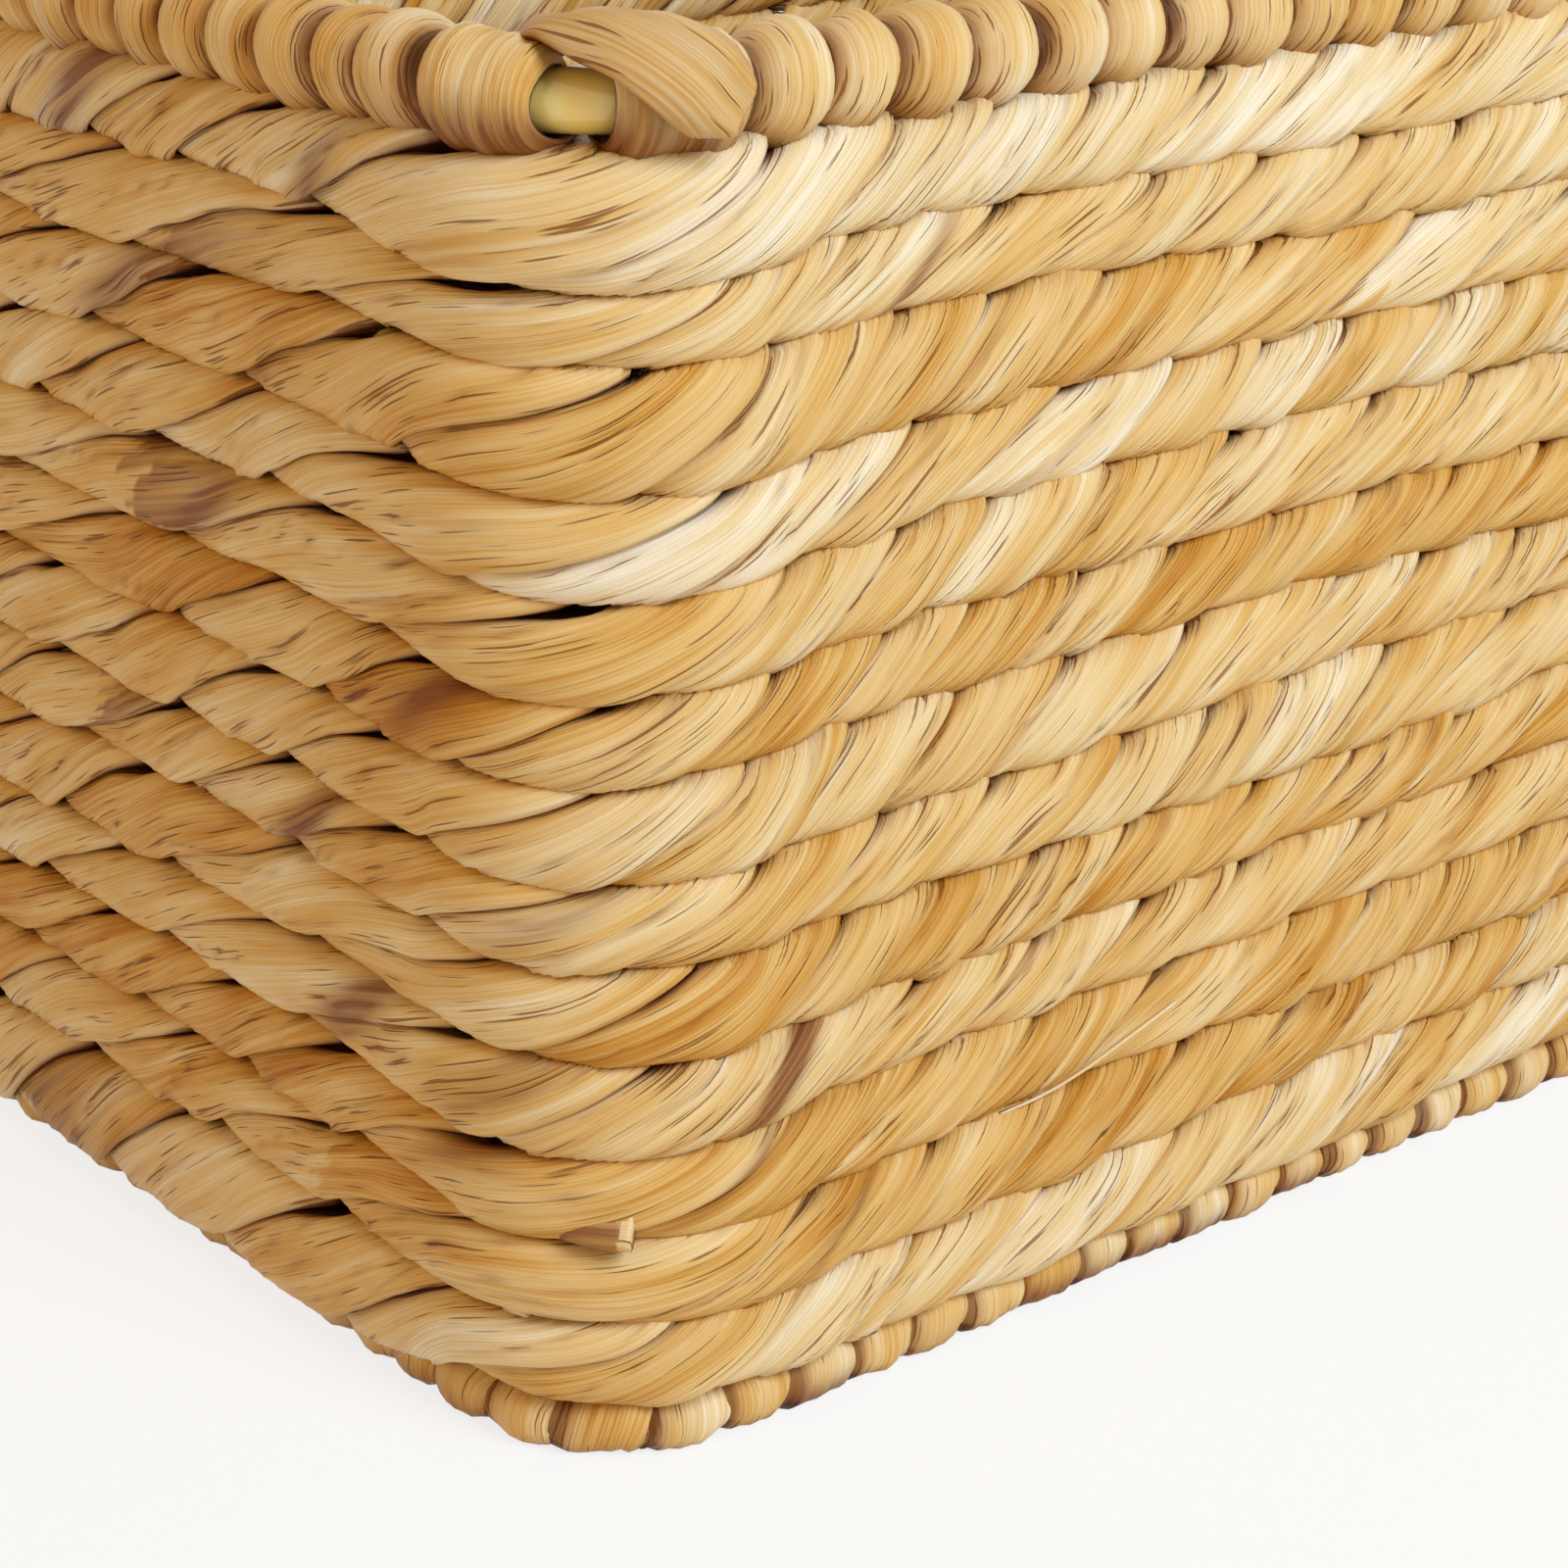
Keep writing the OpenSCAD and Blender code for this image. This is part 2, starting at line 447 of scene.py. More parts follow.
@dataclass(frozen=True)
class HyacinthFinish:
    """Dried water hyacinth: satin straw with long fibres, dark creases and rusty stains.

    The eye gets fine lines along the strand, warm brown painted shade where strands meet, and a soft sheen.
    """

    name: str
    # Straw colours from shaded golden stalks to sun-bleached ones.
    straws: tuple[str, ...] = ("#A05C10", "#C88E38", "#DFB670", "#EAD09E", "#F6EBD4")
    # Colours of the painted shade in creases, on the way into a gap and in the gap itself, and of stains,
    # with their largest shares.
    crease: str = "#7A3A04"
    crease_most: float = 0.76
    hollow: str = "#A05608"
    hollow_most: float = 0.8
    gap: str = "#3C1B04"
    gap_most: float = 0.85
    stain: str = "#7F431D"
    stain_most: float = 0.9
    # Power of the crevice shade at which only the deepest part of a gap is left.
    gap_power: float = 3.0
    fibre: Pattern = Pattern(length=26.0, width=0.27, detail=2.0, weight=0.55)
    bundle: Pattern = Pattern(length=40.0, width=1.2, detail=2.0, weight=0.3)
    blotch: Pattern = Pattern(length=20.0, width=4.5, detail=3.0, weight=0.7)
    streak: Pattern = Pattern(length=10.0, width=0.42, detail=1.0)
    streak_patch: Pattern = Pattern(length=16.0, width=4.5, detail=1.0, weight=0.3)
    # Share of the noise above which a streak shows, and how far its edge is soft.
    streak_from: float = 0.7
    streak_soft: float = 0.1
    # How much more the painted crease shade shows where strands meet.
    streak_crowd: float = 0.2
    # Gain of the bundles in a stain, and what is left of it between them.
    stain_gain: float = 1.8
    stain_rest: float = 0.05
    roughness: float = 0.46
    ior: float = 1.2
    # Height of the relief in millimetres, and shares of fibres and creases in it.
    relief: float = 0.3
    fibre_relief: float = 0.35
    crease_relief: float = -0.4

    def _straw(self, tree: bpy.types.NodeTree, tone: Socket) -> Socket:
        """Adds the ramp of straw colours.

        Args:
            tree: Tree of the material.
            tone: Socket of the tone, from 0 to 1.

        Returns:
            Socket of the colour.
        """
        ramp = add_node(tree, "ShaderNodeValToRGB", None, {0: tone})
        stops = ramp.color_ramp.elements
        last = len(self.straws) - 1
        for number in range(1, last):
            stops.new(number / last)
        for stop, code in zip(stops, self.straws):
            stop.color = linear(code)
        return ramp.outputs["Color"]

    def build(self) -> bpy.types.Material:
        """Builds the material.

        Returns:
            The finished material.
        """
        material = bpy.data.materials.new(self.name)
        tree = blank_tree(material)
        shades = {
            kind: add_node(tree, "ShaderNodeAttribute", {"attribute_name": kind.value}).outputs["Fac"]
            for kind in Shade
        }
        crevice = shades[Shade.CREVICE]
        inputs = {
            0: add_node(tree, "ShaderNodeUVMap", {"uv_map": FIBRE_MAP}).outputs[0],
            1: shades[Shade.SHIFT],
        }
        where = add_node(tree, "ShaderNodeVectorMath", {"operation": "ADD"}, inputs).outputs[0]
        patterns = (self.fibre, self.bundle, self.blotch, self.streak, self.streak_patch)
        fibre, bundle, blotch, streak, patch = (one.build(tree, where) for one in patterns)

        # The straw tone gathers the stalk's own tone and the three patterns.
        tone = self.fibre.gather(tree, fibre, shades[Shade.TONE])
        tone = self.bundle.gather(tree, bundle, tone)
        tone = self.blotch.gather(tree, blotch, tone)

        # Creases are painted shade: thin dark streaks along the fibres, denser where strands meet.
        lined = self.streak_patch.gather(tree, patch, streak)
        crowded = reckon(tree, "MULTIPLY_ADD", crevice, self.streak_crowd, lined)
        crease = soft_step(tree, crowded, self.streak_from, self.streak_from + self.streak_soft)

        # Stains follow the bundles, so that they read as rusty streaks.
        ragged = reckon(tree, "MULTIPLY_ADD", bundle, self.stain_gain, self.stain_rest)
        rust = reckon(tree, "MULTIPLY", shades[Shade.STAIN], ragged, clamp=True)
        # The crevice share is painted shade: warm hollow brown where strands meet, and near black in the
        # deepest gaps.
        deep = reckon(tree, "POWER", crevice, self.gap_power)
        layers = (
            (crevice, self.hollow_most, self.hollow),
            (rust, self.stain_most, self.stain),
            (crease, self.crease_most, self.crease),
            (deep, self.gap_most, self.gap),
        )
        colour = self._straw(tree, tone)
        for share, most, code in layers:
            amount = reckon(tree, "MULTIPLY", share, most, clamp=True)
            colour = mix_colours(tree, amount, colour, linear(code))

        # Fibres stand up a little and creases are cut in.
        height = reckon(tree, "MULTIPLY_ADD", fibre, self.fibre_relief, bundle)
        height = reckon(tree, "MULTIPLY_ADD", crease, self.crease_relief, height)
        inputs = {"Strength": 1.0, "Distance": self.relief * MM, "Height": height}
        inputs = {
            "Base Color": colour,
            "Roughness": self.roughness,
            "IOR": self.ior,
            "Normal": add_node(tree, "ShaderNodeBump", None, inputs).outputs[0],
        }
        shader = add_node(tree, "ShaderNodeBsdfPrincipled", None, inputs)
        add_node(tree, "ShaderNodeOutputMaterial", None, {"Surface": shader.outputs[0]})
        return material


@dataclass(frozen=True)
class CaneFinish:
    """Peeled cane under clear lacquer: golden, streaked lengthwise and glossy."""

    name: str = "lacquered_cane"
    pale: str = "#FFF0A2"
    deep: str = "#FFD45A"
    # Size of the streaks in millimetres, and number of finer layers in them.
    streak: float = 3.0
    detail: float = 2.0
    roughness: float = 0.24
    ior: float = 1.5
    lacquer: float = 0.5

    def build(self) -> bpy.types.Material:
        """Builds the material.

        Returns:
            The finished material.
        """
        material = bpy.data.materials.new(self.name)
        tree = blank_tree(material)
        where = add_node(tree, "ShaderNodeTexCoord").outputs["Object"]
        inputs = {"Vector": where, "Scale": 1.0 / (self.streak * MM), "Detail": self.detail}
        grain = add_node(tree, "ShaderNodeTexNoise", None, inputs).outputs["Fac"]
        inputs = {
            "Base Color": mix_colours(tree, grain, linear(self.deep), linear(self.pale)),
            "Roughness": self.roughness,
            "IOR": self.ior,
            "Coat Weight": self.lacquer,
        }
        shader = add_node(tree, "ShaderNodeBsdfPrincipled", None, inputs)
        add_node(tree, "ShaderNodeOutputMaterial", None, {"Surface": shader.outputs[0]})
        return material


@dataclass(frozen=True)
class WallPath:
    """Centreline of the wall seen from above, counter-clockwise from the middle of the back wall."""

    side_x: float
    side_y: float
    bend: float
    # Place of the photographed corner in the list of legs.
    photo_leg: int = 3

    @classmethod
    def from_core(cls, node: str, bend: float) -> "WallPath":
        """Reads the centreline's half sizes from a round hoop.

        Args:
            node: Node of the hoop.
            bend: Radius of the centreline at the corners.

        Returns:
            The path of the hoop's centreline.
        """
        low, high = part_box(node)
        size = high - low
        return cls((size.x - size.z) / 2.0, (size.y - size.z) / 2.0, bend)

    @property
    def arc(self) -> float:
        """Length of one corner."""
        return self.bend * QUARTER_TURN

    @property
    def legs(self) -> list[tuple[float, bool]]:
        """Length of each straight run or corner in order, and whether it is a corner."""
        run_x = self.side_x - self.bend
        run_y = self.side_y - self.bend
        corner = (self.arc, True)
        walls = [(run_x, False), (2 * run_y, False), (2 * run_x, False), (2 * run_y, False)]
        parts = [part for wall in walls for part in (wall, corner)]
        return [*parts, (run_x, False)]

    @property
    def length(self) -> float:
        """Length of the whole loop."""
        return sum(size for size, _ in self.legs)

    @property
    def corner(self) -> float:
        """Where the middle of the photographed corner is along the loop."""
        before = [size for size, _ in self.legs[: self.photo_leg]]
        return sum(before) + self.arc / 2.0

    def place(self, along: Array) -> tuple[Array, Array]:
        """Finds points on the loop.

        Args:
            along: Distances along the loop.

        Returns:
            Points and outward directions, both level with height 0.
        """
        s = np.mod(along, self.length)
        points = np.zeros((len(s), 3))
        outward = np.zeros((len(s), 3))
        start = np.array([0.0, self.side_y])
        heading = HALF_TURN
        reached = 0.0
        for size, is_corner in self.legs:
            inside = (s >= reached) & (s <= reached + size)
            gone = s[inside] - reached
            ahead = np.array([math.cos(heading), math.sin(heading)])
            right = np.array([ahead[1], -ahead[0]])
            if is_corner:
                centre = start - right * self.bend
                turn = heading - QUARTER_TURN + gone / self.bend
                out = np.stack([np.cos(turn), np.sin(turn)], axis=-1)
                points[inside, :2] = centre + out * self.bend
                outward[inside, :2] = out
                start = centre + ahead * self.bend
                heading += QUARTER_TURN
            else:
                points[inside, :2] = start + gone[:, None] * ahead
                outward[inside, :2] = right
                start = start + size * ahead
            reached += size
        return points, outward


@dataclass
class RopeLine:
    """Course of one two-strand rope."""

    along: Array
    centre: Array
    outward: Array
    up: Array
    half_depth: Array
    half_height: Array
    twist: Array
    length: float
    closed: bool

    @property
    def t(self) -> Array:
        """Share of the length gone at each ring."""
        return self.along / self.length

    def cells(self, every: float) -> int:
        """Counts the whole stretches of one length along the rope."""
        return int(self.length / every)


@dataclass(frozen=True)
class Stain:
    """A rusty or dark patch on one wall row, seen in the photo."""

    row: int
    # Distance from the photographed corner, to the right when positive.
    along: float
    # Angle on the rope, from outward towards up.
    angle: float
    length: float
    spread: float
    strength: float

    def lie(self, line: RopeLine, place: float, angle: Array) -> Array:
        """Lays the stain on a strand, where it follows the rope's turn.

        Args:
            line: Course of the rope.
            place: Where the stain's middle is along the rope.
            angle: Angles of the strand's points on the rope.

        Returns:
            Strength of the stain at each point.
        """
        off = (line.along - place)[:, None] / self.length
        lay = (line.twist - np.interp(place, line.along, line.twist))[:, None]
        bend = np.angle(np.exp(1j * (angle - lay - self.angle))) / self.spread
        return self.strength * np.exp(-(off**2) - bend**2)


@dataclass(frozen=True)
class Folds:
    """Long folds that a flat strand has from being dried and twisted."""

    every: float = 7.0 * MM
    # Height of the tallest fold, and the shares of it that folds have.
    height: float = 0.6 * MM
    rise: tuple[float, float] = (0.3, 1.0)
    length: tuple[float, float] = (7.0 * MM, 22.0 * MM)
    # Place across the strand, and how far it shifts from the middle of a fold to its end.
    place: tuple[float, float] = (0.1, 0.92)
    lean: float = 0.22
    # Width of the slope behind a fold, and of the painted shade line at its foot.
    slope: float = 0.2
    foot: float = 0.016

    def lie(self, line: RopeLine, q: Array, noise: Noise) -> tuple[Array, Array]:
        """Lays the folds on a strand.

        Args:
            line: Course of the rope.
            q: Places across the strand.
            noise: Random stream.

        Returns:
            Height of the folds and painted shade at their feet.
        """
        height = np.zeros((len(line.along), len(q)))
        dark = np.zeros_like(height)
        for _ in range(line.cells(self.every)):
            middle = noise.rng.uniform(0.0, line.length)
            reach = noise.rng.uniform(*self.length)
            place = noise.rng.uniform(*self.place)
            lean = noise.rng.uniform(-self.lean, self.lean)
            rise = noise.rng.uniform(*self.rise) * self.height
            side = noise.rng.choice((-1.0, 1.0))
            off = line.along - middle
            if line.closed:
                off = np.mod(off + line.length / 2.0, line.length) - line.length / 2.0
            near = np.abs(off) < reach
            window = np.cos(off[near] / reach * QUARTER_TURN)[:, None] ** 2
            x = side * (q[None, :] - place - lean * (off[near] / reach)[:, None])
            height[near] += rise * window * np.where(x >= 0.0, np.exp(-x / self.slope), 0.0)
            dark[near] += window * np.exp(-((x / self.foot) ** 2))
        return height, dark


@dataclass(frozen=True)
class Stalks:
    """Stalks that follow one another in a strand, each with a tone of its own and ragged ends."""

    length: tuple[float, float] = (130.0 * MM, 330.0 * MM)
    # Mean and spread of the tone, with its drift along a stalk.
    tone: tuple[float, float] = (0.6, 0.12)
    drift: float = 0.1
    drift_every: float = 28.0 * MM
    drifts_across: int = 3
    torn: float = 4.0 * MM
    # Rusty ends: how many there are, how strong and how long.
    rusty_share: float = 0.16
    rust: tuple[float, float] = (0.5, 1.0)
    rust_reach: float = 16.0 * MM

    def lie(self, line: RopeLine, q: Array, noise: Noise) -> tuple[Array, Array]:
        """Lays the stalks along a strand.

        Args:
            line: Course of the rope.
            q: Places across the strand.
            noise: Random stream.

        Returns:
            Tone and stain by ring and place.
        """
        ends = [0.0]
        while ends[-1] < line.length:
            ends.append(ends[-1] + noise.rng.uniform(*self.length))
        count = len(ends) + 1
        tones = noise.rng.normal(*self.tone, count)
        rust = np.where(noise.rng.uniform(size=count) < self.rusty_share, 1.0, 0.0)
        rust *= noise.rng.uniform(*self.rust, count)
        torn = noise.rng.uniform(-self.torn, self.torn, len(q))
        where = line.along[:, None] + torn[None, :]
        number = np.searchsorted(ends, where)
        slow = noise.sheet(line.t, q, line.cells(self.drift_every), self.drifts_across)
        last = np.array([*ends, ends[-1] + line.length])
        from_end = np.abs(where - last[np.clip(number - 1, 0, None)])
        stain = rust[number] * np.exp(-((from_end / self.rust_reach) ** 2))
        return tones[number] + self.drift * slow, stain


@dataclass(frozen=True)
class TwinedRope:
    """Two flat strands twisted together, each with a lip that lies on the other strand."""

    outer_points: int = 24
    # How much closer the points lie near a strand's edges.
    gather: float = 0.07
    lip_over: float = math.radians(8.0)
    tuck_under: float = math.radians(16.0)
    # Slow and quick wander of the seams, with the lengths over which they change.
    seam_wander: float = math.radians(26.0)
    seam_every: float = 19.0 * MM
    edge_wander: float = math.radians(4.0)
    edge_every: float = 5.0 * MM
    # Exponent of the rope's section: 2 is an ellipse, and more is boxier.
    section: float = 2.9
    # Share by which a fibre runs straight up the face of the rope instead of turning evenly.
    straighten: float = 0.85
    # Bounds of the strand's share that the other one's lip covers.
    covered: tuple[float, float] = (0.05, 0.25)
    # How far a tucked edge sinks near the top of the rope, as a share of the radius, and where.
    wedge: float = 0.3
    wedge_width: float = 0.11
    wedge_from: float = 0.45
    wedge_every: float = 14.0 * MM
    wedge_range: tuple[float, float] = (-0.5, 0.9)
    # Height on the rope above which a point lies in the valley between two rows.
    valley_from: float = 0.84
    # Ridges along the fibres, and how much deeper they are in the valleys.
    ridge: float = 0.09 * MM
    ridge_every: float = 26.0 * MM
    ridges_across: int = 15
    pleat: float = 1.1
    swell: float = 0.28 * MM
    swell_every: float = 13.0 * MM
    swells_across: int = 3
    # Share of the relief that shows, from the tucked edge to the lip.
    relief: tuple[tuple[float, float], ...] = ((0.0, 0.3), (0.1, 1.0), (0.9, 1.0), (1.0, 0.4))
    folds: Folds = Folds()
    stalks: Stalks = Stalks()
    # Width of the flat strand, and how far its fibres drift across it.
    strand_width: float = 16.0 * MM
    drift: float = 2.2 * MM
    drift_every: float = 30.0 * MM
    # Shade under the other strand's lip: least, most on top of that, and how it comes and goes.
    tuck_least: float = 0.15
    tuck_more: float = 0.75
    tuck_range: tuple[float, float] = (-0.45, 0.8)
    tuck_every: float = 9.0 * MM
    tuck_fade: float = 0.045
    # Painted shade at the lip, in the valleys between rows, at the feet of folds and in the sunk wedges.
    lip_shade: float = 0.3
    lip_fade: float = 0.02
    valley_shade: float = 0.95
    fold_shade: float = 0.5
    wedge_shade: float = 0.8
    # Radius as a share of the rope's, from the tucked edge to the lip.
    profile: tuple[tuple[float, float], ...] = (
        (0.0, 0.6),
        (0.05, 0.7),
        (0.12, 0.81),
        (0.22, 0.905),
        (0.38, 0.975),
        (0.7, 1.03),
        (0.86, 1.055),
        (0.94, 1.055),
        (0.98, 1.02),
        (1.0, 0.95),
    )
    # Hidden side, from the lip back to the tucked edge.
    hidden: tuple[tuple[float, float], ...] = (
        (0.985, 0.80),
        (0.93, 0.64),
        (0.66, 0.42),
        (0.34, 0.40),
        (0.08, 0.48),
        (0.0, 0.58),
    )

    def _across(self) -> Array:
        """Spreads the visible points across the strand, closer near the edges.

        Returns:
            Places from 0 at the tucked edge to 1 at the lip.
        """
        t = np.linspace(0.0, 1.0, self.outer_points)
        return t - self.gather * np.sin(TAU * t)

    def _lay(self, turn: Array) -> Array:
        """Straightens fibres across the rope's face.

        Args:
            turn: Even turn along the rope.

        Returns:
            Angle of the fibre on the rope.
        """
        half = np.floor(turn / HALF_TURN + 0.5)
        high = turn / QUARTER_TURN - 2.0 * half
        out = (1.0 - np.abs(high) ** self.section) ** (1.0 / self.section)
        straight = np.arctan2(high, out) + half * HALF_TURN
        return turn + self.straighten * (straight - turn)

    def _surface(self, line: RopeLine, angle: Array, shares: Array, rise: Array) -> Array:
        """Places the points of a strand.

        Args:
            line: Course of the rope.
            angle: Angle of each point on the rope.
            shares: Radius of each point, as a share of the rope's.
            rise: Relief of each point.

        Returns:
            Points by ring and place.
        """
        over = np.cos(angle)
        high = np.sin(angle)
        boxy = (np.abs(over) ** self.section + np.abs(high) ** self.section) ** (-1.0 / self.section)
        deep = line.half_depth[:, None] * shares * boxy + rise
        tall = line.half_height[:, None] * shares * boxy + rise
        return line.centre[:, None, :] + (
            (deep * over)[..., None] * line.outward[:, None, :]
            + (tall * high)[..., None] * line.up[:, None, :]
        )

    def strand(
        self,
        line: RopeLine,
        which: int,
        seams: Sequence[Array],
        stains: Iterable[tuple[float, Stain]],
        noise: Noise,
        offset: float,
    ) -> tuple[Array, Array, Array]:
        """Shapes one strand of the rope.

        Args:
            line: Course of the rope.
            which: Number of the strand, 0 or 1.
            seams: Wander of the seams where both strands tuck under.
            stains: Places along the rope and the stains there.
            noise: Random stream.
            offset: Start of the fibre coordinates.

        Returns:
            Points, fibre coordinates and shades.
        """
        t = line.t
        q = self._across()
        visible = len(q)
        hidden_q, hidden_share = zip(*self.hidden)
        all_q = np.concatenate([q, hidden_q])
        share = np.concatenate([np.interp(q, *zip(*self.profile)), hidden_share])
        turn = line.twist + which * HALF_TURN
        tucked = turn + QUARTER_TURN + seams[which] + self.tuck_under
        lipped = turn - QUARTER_TURN + seams[1 - which] - self.lip_over
        angle = self._lay(tucked[:, None] + (lipped - tucked)[:, None] * all_q[None, :])

        # Where the strand comes out from under the other one's lip.
        out = np.clip((self.lip_over + self.tuck_under) / (tucked - lipped), *self.covered)[:, None]
        toward = np.sin(angle[:, :visible])
        valley = ease(self.valley_from, 1.0, np.abs(toward))
        uneven = ease(*self.wedge_range, noise.line(t, line.cells(self.wedge_every)))[:, None]
        edge = np.exp(-(((q[None, :] - out) / self.wedge_width) ** 2))
        sink = uneven * ease(self.wedge_from, 1.0, toward) * edge
        coarse = (line.cells(self.ridge_every), self.ridges_across)
        fine = (2 * coarse[0], 2 * coarse[1])
        ridges = noise.veins(t, q, coarse, fine) * (1.0 + self.pleat * valley)
        swell = noise.sheet(t, q, line.cells(self.swell_every), self.swells_across)
        folds, feet = self.folds.lie(line, q, noise)
        rise = np.zeros_like(angle)
        rise[:, :visible] = self.ridge * ridges + self.swell * swell + folds
        rise[:, :visible] *= np.interp(q, *zip(*self.relief))
        shares = np.tile(share, (len(t), 1))
        shares[:, :visible] -= self.wedge * sink
        grid = self._surface(line, angle, shares, rise)

        fibre = np.empty((*angle.shape, 2))
        fibre[..., 0] = line.along[:, None] + offset
        sway = self.drift * noise.line(t, line.cells(self.drift_every))
        fibre[..., 1] = all_q * self.strand_width + sway[:, None] + offset

        tone, stain = self.stalks.lie(line, q, noise)
        # Painted shade: under the other strand's lip, at the lip, in the valleys between rows, at the feet
        # of folds and in the wedges.
        shut = ease(*self.tuck_range, noise.line(t, line.cells(self.tuck_every)))[:, None]
        beside = np.clip(q[None, :] - out, 0.0, None)
        tuck = (self.tuck_least + self.tuck_more * shut) * np.exp(-beside / self.tuck_fade)
        lip = self.lip_shade * np.exp(-(1.0 - q) / self.lip_fade)[None, :]
        crevice = tuck + lip + self.valley_shade * valley + self.fold_shade * feet + self.wedge_shade * sink
        for place, mark in stains:
            stain = stain + mark.lie(line, place, angle[:, :visible])
        # The hidden side keeps tone 1 and full painted shade, without stain.
        shade = np.ones((*angle.shape, 3))
        shade[:, :visible, 0] = tone
        shade[:, :visible, 1] = np.clip(crevice, 0.0, 1.0)
        shade[:, :visible, 2] = np.clip(stain, 0.0, 1.0)
        shade[:, visible:, 2] = 0.0
        return grid[:, ::-1], fibre[:, ::-1], shade[:, ::-1]

    def build(
        self, line: RopeLine, noise: Noise, offset: float, stains: Iterable[tuple[float, Stain]] = ()
    ) -> MeshParts:
        """Builds both strands.

        Args:
            line: Course of the rope.
            noise: Random stream.
            offset: Start of the fibre coordinates.
            stains: Places along the rope and the stains there.

        Returns:
            Mesh parts of both strands.
        """
        strands = range(2)
        seams = [
            self.seam_wander * noise.line(line.t, line.cells(self.seam_every))
            + self.edge_wander * noise.line(line.t, line.cells(self.edge_every))
            for _ in strands
        ]
        parts = MeshParts()
        for which in strands:
            start = offset + which * line.length
            grid, fibre, shade = self.strand(line, which, seams, stains, noise, start)
            parts.add_tube(grid, fibre, shade, capped=not line.closed)
        return parts


